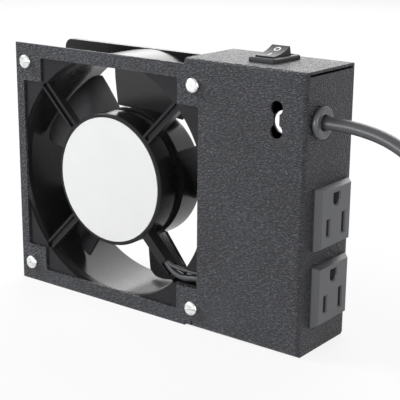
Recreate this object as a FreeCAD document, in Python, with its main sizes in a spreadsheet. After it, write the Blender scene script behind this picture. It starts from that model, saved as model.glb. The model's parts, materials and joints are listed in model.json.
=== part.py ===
import FreeCAD, Part
import math
import os

import Sketcher
from FreeCAD import Placement, Rotation, Vector

# Axial fan on a folded steel panel.  The right-hand end of the panel is folded into a
# wiring box that carries a rocker switch, two outlets and a mains cord.
#
# Every body is drawn about one datum: the fan's axis (Y, into the depth) where it meets
# the front face of the panel, with X along the panel and Z up.  The bodies are then
# moved together, so that the part stands on z = 0 about the middle of its own box.
#
# Lengths are millimetres and angles are degrees.

doc = FreeCAD.newDocument("FanPanel")

# ---------------------------------------------------------------------------
# Driving dimensions
# ---------------------------------------------------------------------------

SIZES = [
    # folded steel panel and wiring box
    ("gauge", 1.2, "thickness of the folded sheet"),
    ("left_margin", 0.1, "edge of the fan's flange to the panel's left edge"),
    ("top_margin", 1.7, "edge of the fan's flange to the top edge of the flat panel"),
    ("bottom_margin", 2.4, "edge of the fan's flange to the underside"),
    ("flange_margin", 4.3, "edge of the fan's flange to the top of the wiring box"),
    ("flange_lap", 12.8, "how far the box's flanges reach over the fan"),
    ("box_width", 49.6, "outside of the divider to the outside of the outlet wall"),
    ("box_depth", 38.5, "front of the panel to the back of the rear cover"),
    ("bend_radius", 2.0, "outside radius of the folds"),
    ("inner_bend", 0.8, "inside radius of the folds"),
    ("seam", 1.0, "open seam where two flanges meet"),
    ("relief_offset", 5.2, "start of the box's flanges to the bend relief in the bottom one"),
    ("relief_width", 0.9, "width of the bend relief"),
    ("relief_depth", 3.0, "depth of the bend relief"),
    ("lip", 9.0, "width of the lips that take the rear cover"),
    ("opening_lap", 4.8, "how far the panel laps over the fan's flange"),
    ("opening_tab", 12.0, "side of the corner tabs that take the fan screws"),
    ("opening_corner", 1.0, "corner radius of the fan opening"),
    # hanging slot
    ("slot_inset", 14.7, "outside of the outlet wall to the hanging slot"),
    ("slot_z", 47.8, "height of the slot's upper circle"),
    ("slot_pitch", 10.1, "distance between the slot's circles"),
    ("slot_radius", 3.1, "radius of the slot's circles"),
    ("slot_neck", 2.9, "width of the neck between the circles"),
    # rear cover
    ("cover_gauge", 1.2, "thickness of the rear cover"),
    ("divider_margin", 1.8, "edge of the fan's flange to the outside of the divider"),
    ("cover_edge", 0.3, "how far the cover stays inside the box's outline"),
    ("divider_gap", 1.0, "divider to the panel and to the flanges"),
    ("knockout_inset", 14.4, "outside of the divider to the rear hole"),
    ("knockout_z", 33.0, "height of the rear hole"),
    ("knockout_radius", 5.5, "radius of the rear hole"),
    ("cover_screw_inset", 8.4, "outside of the divider to the nearest cover screws"),
    ("cover_screw_pitch", 24.0, "distance between the cover screws, along the panel"),
    ("cover_thread", 1.5, "radius of the cover screws"),
    ("cover_head", 1.8, "height of the cover screws' heads"),
    ("cover_head_radius", 2.8, "radius of the cover screws' heads"),
    ("cover_screw_length", 7.0, "length of the cover screws"),
    # fan housing
    ("fan_size", 119.6, "side of the fan's flanges"),
    ("fan_depth", 38.0, "depth of the fan"),
    ("flange_thick", 4.0, "thickness of the fan's flanges"),
    ("fan_corner", 4.5, "corner radius of the fan's flanges"),
    ("screw_inset", 7.3, "edge of the fan's flange to its screw holes"),
    ("duct_margin", 2.3, "edge of the fan's flange to the air duct"),
    ("duct_wall", 2.1, "wall of the air duct"),
    ("bell_margin", 1.0, "edge of the fan's flange to the inlet's mouth"),
    ("bell_depth", 5.0, "depth of the inlet's flare"),
    ("cup_radius", 32.5, "radius of the motor housing"),
    ("cup_depth", 11.1, "depth of the motor housing"),
    ("cup_wall", 2.0, "wall of the motor housing"),
    ("label_edge", 1.9, "edge of the motor housing to the round label"),
    ("label_fit", 0.2, "clearance of the label in its recess"),
    ("label_thick", 0.25, "thickness of the label"),
    ("strut_width", 4.8, "width of the struts"),
    ("strut_depth", 4.0, "depth of the struts"),
    ("lead_strut_depth", 4.8, "depth of the strut that carries the lead"),
    ("strut_setback", 0.4, "fan's front to the struts"),
    ("channel_width", 2.2, "width of the channel along each strut"),
    ("channel_depth", 1.4, "depth of the channel along each strut"),
    ("lead_channel_width", 3.7, "width of the channel that the lead runs in"),
    ("lead_channel_depth", 3.6, "depth of the channel that the lead runs in"),
    ("notch_height", 7.4, "height of the lead's notch in the front flange"),
    ("notch_z", 38.4, "how far the lead's notch is below the fan axis"),
    ("notch_start", 37.0, "fan axis to the start of the lead's notch"),
    # rotor
    ("hub_radius", 33.0, "radius of the rotor's hub"),
    ("hub_wall", 2.0, "wall of the hub"),
    ("hub_front", 17.9, "panel's front to the hub's open edge"),
    ("hub_back", 33.2, "panel's front to the hub's closed end"),
    ("hub_edge", 2.5, "edge radius of the hub's closed end"),
    ("hub_boss", 5.0, "radius of the boss round the shaft"),
    ("boss_length", 3.6, "length of the boss"),
    ("blade_count", 5, "number of blades"),
    ("blade_front", 14.6, "panel's front to the blades' leading edge, at mid span"),
    ("blade_back", 32.8, "panel's front to the blades' trailing edge, at mid span"),
    ("blade_sweep", 1.0, "how much further the tip reaches than the root, each way"),
    ("mid_span", 45.0, "radius of the blades' middle section"),
    ("slope_root", 1.60, "tangential rise per unit of depth at the root"),
    ("slope_mid", 2.00, "tangential rise per unit of depth at mid span"),
    ("slope_tip", 2.40, "tangential rise per unit of depth at the tip"),
    ("blade_thick", 2.2, "thickness of a blade at mid chord"),
    ("blade_edge", 1.2, "thickness of a blade at its edges"),
    ("blade_camber", 1.1, "rise of the camber line"),
    ("corner_reach", 8.0, "how far the rounding of a blade's tip runs along its edges"),
    ("corner_depth", 3.6, "how far the rounding of a blade's tip runs into the depth"),
    ("tip_gap", 1.0, "blade tip to the duct"),
    ("rest_angle", -3.8, "angle at which the rotor stands"),
    # motor
    ("shaft_radius", 2.5, "radius of the motor shaft"),
    ("shaft_front", 4.6, "panel's front to the shaft's front end"),
    ("shaft_back", 32.2, "panel's front to the shaft's back end"),
    ("running_fit", 0.05, "radial clearance of a turning fit"),
    ("bearing_radius", 6.5, "outside radius of the bearings"),
    ("bearing_width", 4.0, "width of the bearings"),
    ("front_bearing", 6.4, "panel's front to the front bearing"),
    ("rear_bearing", 22.6, "panel's front to the rear bearing"),
    ("tube_wall", 2.4, "wall of the bearing tube"),
    ("tube_back", 27.0, "panel's front to the end of the bearing tube"),
    ("seat_fit", 0.02, "radial clearance of a seated fit"),
    ("stator_radius", 25.4, "radius of the stator laminations"),
    ("stator_front", 14.0, "panel's front to the laminations"),
    ("stator_stack", 11.0, "height of the laminations"),
    ("stator_slots", 6, "number of winding slots"),
    ("winding_height", 3.0, "height of the windings beyond the laminations"),
    ("air_gap", 0.5, "laminations to the rotor core"),
    ("core_front", 18.6, "panel's front to the rotor core"),
    ("core_length", 10.0, "length of the rotor core"),
    # fan screws and nuts
    ("fan_thread", 2.0, "radius of the fan screws"),
    ("fan_head_radius", 3.5, "radius of the fan screws' heads"),
    ("screw_head", 2.4, "height of the fan screws' heads"),
    ("fan_screw_length", 10.5, "length of the fan screws"),
    ("hole_gap", 0.2, "radial clearance of a screw in its hole"),
    ("nut_width", 7.0, "width across the flats of the fan nuts"),
    ("nut_height", 3.2, "height of the fan nuts"),
    # rocker switch
    ("switch_inset", 30.2, "outside of the outlet wall to the switch's middle"),
    ("switch_y", 20.8, "panel's front to the switch's middle"),
    ("bezel_width", 15.0, "width of the switch's bezel"),
    ("bezel_length", 21.0, "length of the switch's bezel"),
    ("bezel_height", 2.0, "height of the switch's bezel"),
    ("bezel_corner", 2.0, "corner radius of the bezel"),
    ("switch_width", 13.0, "width of the switch's body"),
    ("switch_length", 19.4, "length of the switch's body"),
    ("switch_depth", 13.0, "depth of the switch's body below the panel"),
    ("cutout_gap", 0.2, "panel cut-outs round the pieces that fill them"),
    ("well_width", 10.0, "width of the well for the rocker"),
    ("well_length", 17.4, "length of the well for the rocker"),
    ("well_depth", 8.6, "depth of the well below the panel"),
    ("rocker_width", 9.4, "width of the rocker"),
    ("rocker_half", 6.7, "half the length of the rocker"),
    ("rocker_end", 6.8, "pivot to the top of the rocker's ends"),
    ("rocker_dip", 5.9, "pivot to the middle of the rocker's hollow top"),
    ("pivot_drop", 2.3, "how far the pivot is below the panel"),
    ("pivot_radius", 1.2, "radius of the rocker's pivot pins"),
    ("rocker_tilt", 14.0, "tilt of the rocker each way"),
    ("tab_width", 4.8, "width of the push-on terminals"),
    ("tab_thick", 0.8, "thickness of the push-on terminals"),
    ("tab_length", 8.0, "length of the push-on terminals"),
    ("tab_pitch", 8.0, "pitch of the switch's terminals"),
    # outlets
    ("outlet_inset", 16.5, "back of the rear cover to the outlets' middle"),
    ("outlet_z", -0.8, "height of the upper outlet"),
    ("outlet_pitch", 35.2, "distance between the outlets"),
    ("outlet_base_width", 28.0, "width of an outlet's rim at the wall"),
    ("outlet_base_height", 28.0, "height of an outlet's rim at the wall"),
    ("outlet_width", 23.4, "width of an outlet's face"),
    ("outlet_height", 25.7, "height of an outlet's face"),
    ("outlet_proud", 3.5, "how far an outlet's face stands out"),
    ("outlet_rim", 0.8, "thickness of the outlet's rim"),
    ("outlet_body_width", 24.0, "width of an outlet's body behind the wall"),
    ("outlet_body_height", 25.0, "height of an outlet's body behind the wall"),
    ("outlet_body_depth", 12.0, "depth of an outlet's body behind the wall"),
    ("outlet_back_depth", 8.0, "depth of the outlet's back"),
    ("blade_spacing", 12.7, "pitch of the two flat slots"),
    ("blade_drop", 4.4, "how far the flat slots are below the outlet's middle"),
    ("pin_rise", 7.5, "how far the earth hole is above the outlet's middle"),
    ("slot_width", 2.4, "width of the flat slots"),
    ("live_height", 7.4, "height of the live slot"),
    ("neutral_height", 9.2, "height of the neutral slot"),
    ("earth_radius", 2.6, "radius of the earth hole's round end"),
    ("earth_flat", 2.9, "middle of the earth hole to its flat side"),
    ("lead_in", 0.6, "chamfer at the mouths of the slots"),
    ("front_wall", 5.0, "wall between an outlet's face and its contacts"),
    ("contact_width", 4.4, "width of a contact's chamber"),
    ("contact_height", 6.4, "height of a contact's clip"),
    ("contact_depth", 10.0, "depth of a contact's clip"),
    ("contact_gauge", 0.6, "thickness of the contact strip"),
    # grommet and cord
    ("cord_radius", 2.9, "radius of the mains cord"),
    ("cord_gap", 0.3, "clearance of the cord in the grommet"),
    ("grommet_y", 10.8, "panel's front to the cord's axis"),
    ("grommet_z", 42.0, "height of the cord's axis"),
    ("grommet_radius", 7.2, "radius of the grommet's outer ring"),
    ("grommet_proud", 3.0, "how far the grommet stands out"),
    ("grommet_neck", 5.4, "radius of the grommet's neck"),
    ("grommet_inner", 6.4, "radius of the grommet's inner ring"),
    ("grommet_back", 2.6, "thickness of the grommet's inner ring"),
    ("clamp_radius", 4.8, "radius of the crimped ring on the cord"),
    ("clamp_length", 4.0, "length of the crimped ring"),
    ("sheath_end", 101.0, "fan axis to the end of the cord's sheath"),
    # leads of the fan
    ("sleeve_radius", 1.7, "radius of the fan's lead sleeve"),
    ("sleeve_bed", 0.1, "sleeve to the bottom of its channel"),
    ("cap_width", 4.6, "width of the cap over the lead's channel"),
    ("cap_thick", 0.8, "thickness of the cap"),
    ("cap_end", 48.6, "fan axis to the outer end of the cap, along the strut"),
]

# ---------------------------------------------------------------------------
# The spreadsheet, and sizes that keep both their value and their expression
# ---------------------------------------------------------------------------


class Size:
    """A number together with the spreadsheet expression that gives it."""

    def __init__(self, value, text):
        self.value = float(value)
        self.text = text

    @staticmethod
    def of(item):
        return item if isinstance(item, Size) else Size(item, repr(item))

    def __add__(self, other):
        other = Size.of(other)
        return Size(self.value + other.value, f"({self.text} + {other.text})")

    def __sub__(self, other):
        other = Size.of(other)
        return Size(self.value - other.value, f"({self.text} - {other.text})")

    def __mul__(self, other):
        other = Size.of(other)
        return Size(self.value * other.value, f"({self.text} * {other.text})")

    def __truediv__(self, other):
        other = Size.of(other)
        return Size(self.value / other.value, f"({self.text} / {other.text})")

    def __radd__(self, other):
        return Size.of(other) + self

    def __rsub__(self, other):
        return Size.of(other) - self

    def __rmul__(self, other):
        return Size.of(other) * self

    def __neg__(self):
        return Size(-self.value, f"(-1 * {self.text})")


def root(size):
    """The square root of a size."""
    return Size(math.sqrt(size.value), f"sqrt({size.text})")


class Dimensions:
    """The sheet's cells, each read as an attribute by its alias."""

    def __init__(self, rows):
        sheet = doc.addObject("Spreadsheet::Sheet", "Dims")
        for number, (alias, value, note) in enumerate(rows, 1):
            sheet.set(f"A{number}", alias)
            sheet.set(f"B{number}", str(value))
            sheet.set(f"C{number}", note)
            sheet.setAlias(f"B{number}", alias)
            setattr(self, alias, Size(value, f"Dims.{alias}"))


D = Dimensions(SIZES)
doc.recompute()

# Places from the fan's axis, all of which follow the fan's flange.
FAN_HALF = D.fan_size / 2
DUCT_BORE = FAN_HALF - D.duct_margin
BELL_RADIUS = FAN_HALF - D.bell_margin
OPENING_HALF = FAN_HALF - D.opening_lap
PLATE_LEFT = FAN_HALF + D.left_margin
PLATE_TOP = FAN_HALF + D.top_margin
PLATE_BOTTOM = FAN_HALF + D.bottom_margin
FLANGE_TOP = FAN_HALF + D.flange_margin
BOX_LEFT = FAN_HALF - D.flange_lap
RELIEF_X = BOX_LEFT + D.relief_offset
COVER_LEFT = FAN_HALF + D.divider_margin
PLATE_RIGHT = COVER_LEFT + D.box_width
SLOT_X = PLATE_RIGHT - D.slot_inset
SWITCH_X = PLATE_RIGHT - D.switch_inset
KNOCKOUT_X = COVER_LEFT + D.knockout_inset
LABEL_RADIUS = D.cup_radius - D.label_edge
OUTLET_Y = D.box_depth - D.outlet_inset

# The datum's place in the part's own frame: the part is centred on its box, and stands on z = 0.
ORIGIN_X = (PLATE_RIGHT + D.outlet_proud - PLATE_LEFT) / 2
ORIGIN_Y = (D.box_depth + D.cover_head - D.screw_head) / 2
ORIGIN_Z = -PLATE_BOTTOM

# ---------------------------------------------------------------------------
# Drawing helpers
# ---------------------------------------------------------------------------

NORMAL = {"XY": 1, "XZ": -1, "YZ": 1}  # sense of each origin plane's normal along its axis
GROWS = ("PartDesign::Pad", "PartDesign::Revolution", "PartDesign::AdditiveLoft")
CUTS = ("PartDesign::Pocket", "PartDesign::Groove")
SUB_PARTS = []  # every finished sub-part, in the order in which it is made


def bind(item, prop, size):
    """Ties a property to the sheet."""
    item.setExpression(prop, Size.of(size).text)


def place(item, x=0, y=0, z=0):
    """Moves an object from the shared datum to its place in the part's frame."""
    bind(item, "Placement.Base.x", x - ORIGIN_X)
    bind(item, "Placement.Base.y", y - ORIGIN_Y)
    bind(item, "Placement.Base.z", z - ORIGIN_Z)


def finish(item, label):
    """Names a sub-part and lists it for export."""
    item.Label = label
    SUB_PARTS.append(item)
    return item


def new_body(label, x=0, y=0, z=0):
    """A PartDesign body whose own origin stands at x, y, z from the shared datum."""
    item = doc.addObject("PartDesign::Body", label)
    place(item, x, y, z)
    return finish(item, label)


def origin_feature(item, role):
    return next(f for f in item.Origin.OriginFeatures if f.Role == role)


class Outline:
    """A sketch on one of a body's origin planes, moved along that plane's axis."""

    def __init__(self, owner, plane, name, at=0):
        self.owner = owner
        self.sense = NORMAL[plane]
        self.sketch = owner.newObject("Sketcher::SketchObject", name)
        self.sketch.AttachmentSupport = [(origin_feature(owner, plane + "_Plane"), "")]
        self.sketch.MapMode = "FlatFace"
        bind(self.sketch, "AttachmentOffset.Base.z", Size.of(at) * self.sense)

    def constrain(self, size, *terms):
        """Adds a dimension and ties it to the sheet."""
        size = Size.of(size)
        number = self.sketch.addConstraint(Sketcher.Constraint(*terms, size.value))
        self.sketch.setExpression(f"Constraints[{number}]", size.text)

    def fix(self, geometry, end, x, y):
        """Fixes one point of a line, arc or circle from the sketch's origin."""
        self.constrain(x, "DistanceX", -1, 1, geometry, end)
        self.constrain(y, "DistanceY", -1, 1, geometry, end)

    def polygon(self, corners):
        """A closed outline of straight lines."""
        points = [Vector(Size.of(x).value, Size.of(y).value, 0) for x, y in corners]
        count = len(points)
        lines = [Part.LineSegment(points[i], points[(i + 1) % count]) for i in range(count)]
        first = self.sketch.addGeometry(lines, False)[0]
        for i, (x, y) in enumerate(corners):
            self.fix(first + i, 1, x, y)
            joint = (first + i, 2, first + (i + 1) % count, 1)
            self.sketch.addConstraint(Sketcher.Constraint("Coincident", *joint))
        return self

    def rectangle(self, left, bottom, right, top):
        return self.polygon([(left, bottom), (right, bottom), (right, top), (left, top)])

    def centred(self, width, height, x=0, y=0):
        """A rectangle about a middle point."""
        return self.rectangle(x - width / 2, y - height / 2, x + width / 2, y + height / 2)

    def circle(self, radius, x=0, y=0):
        radius = Size.of(radius)
        middle = Vector(Size.of(x).value, Size.of(y).value, 0)
        number = self.sketch.addGeometry(Part.Circle(middle, Vector(0, 0, 1), radius.value), False)
        self.fix(number, 3, x, y)
        self.constrain(radius, "Radius", number)
        return self

    def arc(self, start, middle, end, radius):
        """An arc through three points, given with its radius.  Returns its number and its two ends."""
        points = [Vector(Size.of(x).value, Size.of(y).value, 0) for x, y in (start, middle, end)]
        centre = Part.Circle(*points).Center
        angles = [math.atan2(point.y - centre.y, point.x - centre.x) for point in points]
        sweep = (angles[2] - angles[0]) % (2 * math.pi)
        clockwise = (angles[1] - angles[0]) % (2 * math.pi) > sweep
        first, last = (angles[2], angles[0]) if clockwise else (angles[0], angles[2])
        circle = Part.Circle(centre, Vector(0, 0, 1), Size.of(radius).value)
        number = self.sketch.addGeometry(Part.ArcOfCircle(circle, first, last), False)
        ends = (2, 1) if clockwise else (1, 2)
        self.fix(number, ends[0], *start)
        self.fix(number, ends[1], *end)
        self.constrain(radius, "Radius", number)
        return number, ends

    def chord(self, first, second):
        """A straight line between the ends of two curves, each given as (number, end)."""
        start = self.sketch.getPoint(*first)
        end = self.sketch.getPoint(*second)
        number = self.sketch.addGeometry(Part.LineSegment(start, end), False)
        self.sketch.addConstraint(Sketcher.Constraint("Coincident", number, 1, *first))
        self.sketch.addConstraint(Sketcher.Constraint("Coincident", number, 2, *second))

    def feature(self, kind, name):
        item = self.owner.newObject(f"PartDesign::{kind}", name)
        item.Profile = self.sketch
        return item

    def pad(self, length, along=1):
        """Adds material along the plane's axis: 1 towards its positive end, -1 away from it."""
        item = self.feature("Pad", "Pad")
        bind(item, "Length", length)
        item.Reversed = along * self.sense < 0
        return item

    def pocket(self, length, along=1):
        """Removes material along the plane's axis."""
        item = self.feature("Pocket", "Pocket")
        bind(item, "Length", length)
        item.Reversed = along * self.sense > 0
        return item

    def turn(self, axis="V_Axis", kind="Revolution"):
        """Turns the outline about one of its own axes, to add or to remove material."""
        item = self.feature(kind, kind)
        item.ReferenceAxis = (self.sketch, [axis])
        item.Angle = 360
        return item


def round_edges(owner, radius, wanted, kind="Fillet"):
    """Rounds or bevels each edge of the body's last feature that the test wants."""
    doc.recompute()
    base = owner.Tip
    names = [f"Edge{i}" for i, edge in enumerate(base.Shape.Edges, 1) if wanted(edge)]
    if not names:
        raise RuntimeError(f"{owner.Label} has no edge to round")
    item = owner.newObject(f"PartDesign::{kind}", kind)
    item.Base = (base, names)
    bind(item, "Radius" if kind == "Fillet" else "Size", radius)
    return item


def polar(owner, features, count, axis="Y_Axis"):
    """Repeats features evenly about one of the body's axes."""
    item = owner.newObject("PartDesign::PolarPattern", "PolarPattern")
    item.Originals = features
    item.Axis = (origin_feature(owner, axis), [""])
    item.Angle = 360
    bind(item, "Occurrences", count)
    owner.Tip = item
    return item


def near(first, second, slack=0.01):
    return abs(Size.of(first).value - Size.of(second).value) < slack


def straight(edge, axis):
    """Whether an edge is a straight line along an axis, given as 0, 1 or 2."""
    if edge.Curve.TypeId != "Part::GeomLine":
        return False
    return abs(abs(edge.tangentAt(edge.FirstParameter)[axis]) - 1) < 1e-6


def middle(edge):
    return edge.CenterOfMass


def turned(label, corners):
    """A body turned about the fan's axis from corners given as (radius, depth)."""
    owner = new_body(label)
    Outline(owner, "XY", "Profile").polygon(corners).turn()
    return owner


def ring(label, outer, inner, front, length):
    """A plain ring about the fan's axis."""
    back = front + length
    return turned(label, [(inner, front), (outer, front), (outer, back), (inner, back)])


# ---------------------------------------------------------------------------
# Folded panel and rear cover
# ---------------------------------------------------------------------------

CHASSIS_DEPTH = D.box_depth - D.cover_gauge
SCREW_HALF = FAN_HALF - D.screw_inset
SCREW_PLACES = [(SCREW_HALF * i, SCREW_HALF * j) for i, j in ((1, 1), (-1, 1), (-1, -1), (1, -1))]
LIP_TOP = FLANGE_TOP - D.gauge - D.lip / 2
LIP_BOTTOM = D.lip / 2 + D.gauge - PLATE_BOTTOM
COVER_SCREW_X = COVER_LEFT + D.cover_screw_inset
COVER_PLACES = [
    (x, z) for x in (COVER_SCREW_X, COVER_SCREW_X + D.cover_screw_pitch) for z in (LIP_BOTTOM, LIP_TOP)
]
OUTLET_HEIGHTS = (("upper", D.outlet_z), ("lower", D.outlet_z - D.outlet_pitch))


def face_plate():
    """The panel with its fan opening, folded back at the right into an open-ended box."""
    owner = new_body("face_plate")
    left = BOX_LEFT
    inside_top = FLANGE_TOP - D.gauge
    inside_bottom = D.gauge - PLATE_BOTTOM
    inside_right = PLATE_RIGHT - D.gauge
    Outline(owner, "XZ", "BoxOutline").rectangle(left, -PLATE_BOTTOM, PLATE_RIGHT, FLANGE_TOP).pad(
        CHASSIS_DEPTH
    )
    round_edges(
        owner,
        D.bend_radius,
        lambda e: near(middle(e).y, 0)
        and (straight(e, 0) or (straight(e, 2) and near(middle(e).x, PLATE_RIGHT))),
    )
    Outline(owner, "XZ", "Inside", D.gauge).rectangle(
        left - 1, inside_bottom, inside_right, inside_top
    ).pocket(CHASSIS_DEPTH - 2 * D.gauge)
    round_edges(
        owner,
        D.inner_bend,
        lambda e: near(middle(e).y, D.gauge)
        and (
            (straight(e, 0) and (near(middle(e).z, inside_top) or near(middle(e).z, inside_bottom)))
            or (straight(e, 2) and near(middle(e).x, inside_right))
        ),
    )
    back = CHASSIS_DEPTH - D.gauge
    Outline(owner, "XZ", "BackOpening", back).rectangle(
        left - 1, inside_bottom + D.lip, inside_right - D.lip, inside_top - D.lip
    ).pocket(2 * D.gauge)
    top = ("Top", inside_top - D.lip, inside_top)
    bottom = ("Bottom", inside_bottom, inside_bottom + D.lip)
    for name, low, high in (top, bottom):
        Outline(owner, "XZ", f"LipCorner{name}", back).rectangle(
            inside_right - D.lip - D.seam, low, inside_right, high
        ).pocket(2 * D.gauge)
        Outline(owner, "XZ", f"LipStart{name}", back).rectangle(
            left - 1, low, COVER_LEFT + D.gauge + D.divider_gap, high
        ).pocket(2 * D.gauge)
    for name, low, high in (
        ("Top", inside_top - D.seam, inside_top),
        ("Bottom", inside_bottom, inside_bottom + D.seam),
    ):
        Outline(owner, "XZ", f"Seam{name}", D.bend_radius).rectangle(
            inside_right - 0.1, low, PLATE_RIGHT + 1, high
        ).pocket(D.box_depth)
    Outline(owner, "XZ", "Panel").rectangle(-PLATE_LEFT, -PLATE_BOTTOM, left + D.gauge, PLATE_TOP).pad(
        D.gauge
    )
    half = OPENING_HALF
    step = half - D.opening_tab
    corners = []
    for i, j in ((1, 1), (-1, 1), (-1, -1), (1, -1)):
        run = [(half * i, step * j), (step * i, step * j), (step * i, half * j)]
        corners += run if i * j > 0 else run[::-1]
    Outline(owner, "XZ", "FanOpening", -1).polygon(corners).pocket(2 * D.gauge)
    corners = ((half, step), (step, half), (step, step))
    round_edges(
        owner,
        D.opening_corner,
        lambda e: straight(e, 1)
        and near(middle(e).y, D.gauge / 2)
        and any(near(abs(middle(e).x), a) and near(abs(middle(e).z), b) for a, b in corners),
    )
    holes = Outline(owner, "XZ", "FanScrewHoles", -1)
    for x, z in SCREW_PLACES:
        holes.circle(D.fan_thread + D.hole_gap, x, z)
    holes.pocket(2 * D.gauge)
    Outline(owner, "XZ", "Relief", -1).rectangle(
        RELIEF_X - D.relief_width / 2,
        -PLATE_BOTTOM - 1,
        RELIEF_X + D.relief_width / 2,
        D.relief_depth - PLATE_BOTTOM,
    ).pocket(1 + D.bend_radius)
    hanging_slot(owner)
    Outline(owner, "XY", "SwitchCutout", inside_top - 1).centred(
        D.switch_width + 2 * D.cutout_gap, D.switch_length + 2 * D.cutout_gap, SWITCH_X, D.switch_y
    ).pocket(2 + D.gauge)
    wall = Outline(owner, "YZ", "WallCutouts", inside_right - 1)
    for _, height in OUTLET_HEIGHTS:
        wall.centred(
            D.outlet_body_width + 2 * D.cutout_gap,
            D.outlet_body_height + 2 * D.cutout_gap,
            OUTLET_Y,
            height,
        )
    wall.circle(D.grommet_neck + D.seat_fit, D.grommet_y, D.grommet_z)
    wall.pocket(2 + D.gauge)
    holes = Outline(owner, "XZ", "CoverScrewHoles", back - 1)
    for x, z in COVER_PLACES:
        holes.circle(D.cover_thread + D.seat_fit, x, z)
    holes.pocket(2 + D.gauge)


def hanging_slot(owner):
    """Two round holes joined by a narrow neck, for hanging the panel on a screw."""
    low = D.slot_z - D.slot_pitch
    for name, height in (("Upper", D.slot_z), ("Lower", low)):
        Outline(owner, "XZ", f"Slot{name}", -1).circle(D.slot_radius, SLOT_X, height).pocket(2 * D.gauge)
    Outline(owner, "XZ", "SlotNeck", -1).rectangle(
        SLOT_X - D.slot_neck / 2, low, SLOT_X + D.slot_neck / 2, D.slot_z
    ).pocket(2 * D.gauge)


def rear_cover():
    """The cover of the wiring box, folded forward beside the fan as a divider."""
    owner = new_body("rear_cover")
    bottom = D.cover_edge - PLATE_BOTTOM
    top = FLANGE_TOP - D.cover_edge
    Outline(owner, "XZ", "Back", CHASSIS_DEPTH).rectangle(
        COVER_LEFT, bottom, PLATE_RIGHT - D.cover_edge, top
    ).pad(D.cover_gauge)
    start = D.gauge + D.divider_gap
    Outline(owner, "XZ", "Divider", start).rectangle(
        COVER_LEFT,
        D.gauge + D.divider_gap - PLATE_BOTTOM,
        COVER_LEFT + D.cover_gauge,
        FLANGE_TOP - D.gauge - D.divider_gap,
    ).pad(CHASSIS_DEPTH - start)
    round_edges(
        owner,
        D.bend_radius,
        lambda e: straight(e, 2) and near(middle(e).x, COVER_LEFT) and near(middle(e).y, D.box_depth),
    )
    Outline(owner, "XZ", "Knockout", CHASSIS_DEPTH - 1).circle(
        D.knockout_radius, KNOCKOUT_X, D.knockout_z
    ).pocket(2 + D.cover_gauge)
    holes = Outline(owner, "XZ", "ScrewHoles", CHASSIS_DEPTH - 1)
    for x, z in COVER_PLACES:
        holes.circle(D.cover_thread + D.hole_gap, x, z)
    holes.pocket(2 + D.cover_gauge)
    Outline(owner, "XZ", "LeadNotch", start - 1).centred(
        4 * D.cover_gauge, D.notch_height, COVER_LEFT, -D.notch_z
    ).pocket(1 + D.notch_height)


# ---------------------------------------------------------------------------
# Screws and nuts
# ---------------------------------------------------------------------------


def rod(name, radius, start, length, x, z):
    """A cylinder along the depth, from start towards the back."""
    item = doc.addObject("Part::Cylinder", name)
    bind(item, "Radius", radius)
    bind(item, "Height", length)
    item.Placement.Rotation = Rotation(Vector(1, 0, 0), -90)
    bind(item, "Placement.Base.x", x)
    bind(item, "Placement.Base.y", start)
    bind(item, "Placement.Base.z", z)
    return item


def block(name, x, y, z, width, depth, height):
    """A box about a middle x and z, from y towards the back."""
    item = doc.addObject("Part::Box", name)
    bind(item, "Length", width)
    bind(item, "Width", depth)
    bind(item, "Height", height)
    bind(item, "Placement.Base.x", x - Size.of(width) / 2)
    bind(item, "Placement.Base.y", y)
    bind(item, "Placement.Base.z", z - Size.of(height) / 2)
    return item


def boolean(kind, name, base, tool):
    item = doc.addObject(f"Part::{kind}", name)
    item.Base = base
    item.Tool = tool
    return item


def gather(label, pieces):
    """One sub-part made of several separate solids."""
    item = doc.addObject("Part::Compound", label)
    item.Links = pieces
    place(item)
    return finish(item, label)


def pan_screw(name, place_at, seat, sign, sizes):
    """A slotted pan-head screw: sign is 1 where it points to the back and -1 where it points to the front."""
    x, z = place_at
    thread, head_radius, head, length = sizes
    shank_start = seat if sign > 0 else seat - length
    head_start = seat - head if sign > 0 else seat
    shank = rod(f"{name}Shank", thread, shank_start, length, x, z)
    cap = rod(f"{name}Head", head_radius, head_start, head, x, z)
    doc.recompute()
    domed = doc.addObject("Part::Fillet", f"{name}Dome")
    domed.Base = cap
    outer = head_start.value if sign > 0 else (head_start + head).value
    rim = [i for i, e in enumerate(cap.Shape.Edges, 1) if len(e.Vertexes) == 1 and near(middle(e).y, outer)]
    bend = head.value * 0.6
    domed.Edges = [(i, bend, bend) for i in rim]
    whole = boolean("Fuse", f"{name}Solid", domed, shank)
    slot_start = head_start if sign > 0 else head_start + head / 2
    slot = block(f"{name}Slot", x, slot_start, z, 2 * head_radius + 1, head / 2, head / 3)
    return boolean("Cut", name, whole, slot)


def fasteners():
    fan_sizes = (D.fan_thread, D.fan_head_radius, D.screw_head, D.fan_screw_length)
    screws = [
        pan_screw(f"FanScrew{i}", spot, Size.of(0), 1, fan_sizes) for i, spot in enumerate(SCREW_PLACES)
    ]
    gather("fan_screws", screws)
    nuts = []
    for i, (x, z) in enumerate(SCREW_PLACES):
        hexagon = doc.addObject("Part::Prism", f"Nut{i}Hexagon")
        hexagon.Polygon = 6
        bind(hexagon, "Circumradius", D.nut_width / math.sqrt(3))
        bind(hexagon, "Height", D.nut_height)
        hexagon.Placement.Rotation = Rotation(Vector(1, 0, 0), -90)
        bind(hexagon, "Placement.Base.x", x)
        bind(hexagon, "Placement.Base.y", D.gauge + D.flange_thick)
        bind(hexagon, "Placement.Base.z", z)
        bore = rod(f"Nut{i}Bore", D.fan_thread + D.seat_fit, D.gauge + D.flange_thick, D.nut_height, x, z)
        nuts.append(boolean("Cut", f"Nut{i}", hexagon, bore))
    gather("fan_nuts", nuts)
    cover_sizes = (D.cover_thread, D.cover_head_radius, D.cover_head, D.cover_screw_length)
    screws = [
        pan_screw(f"CoverScrew{i}", spot, D.box_depth, -1, cover_sizes)
        for i, spot in enumerate(COVER_PLACES)
    ]
    gather("cover_screws", screws)


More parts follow.
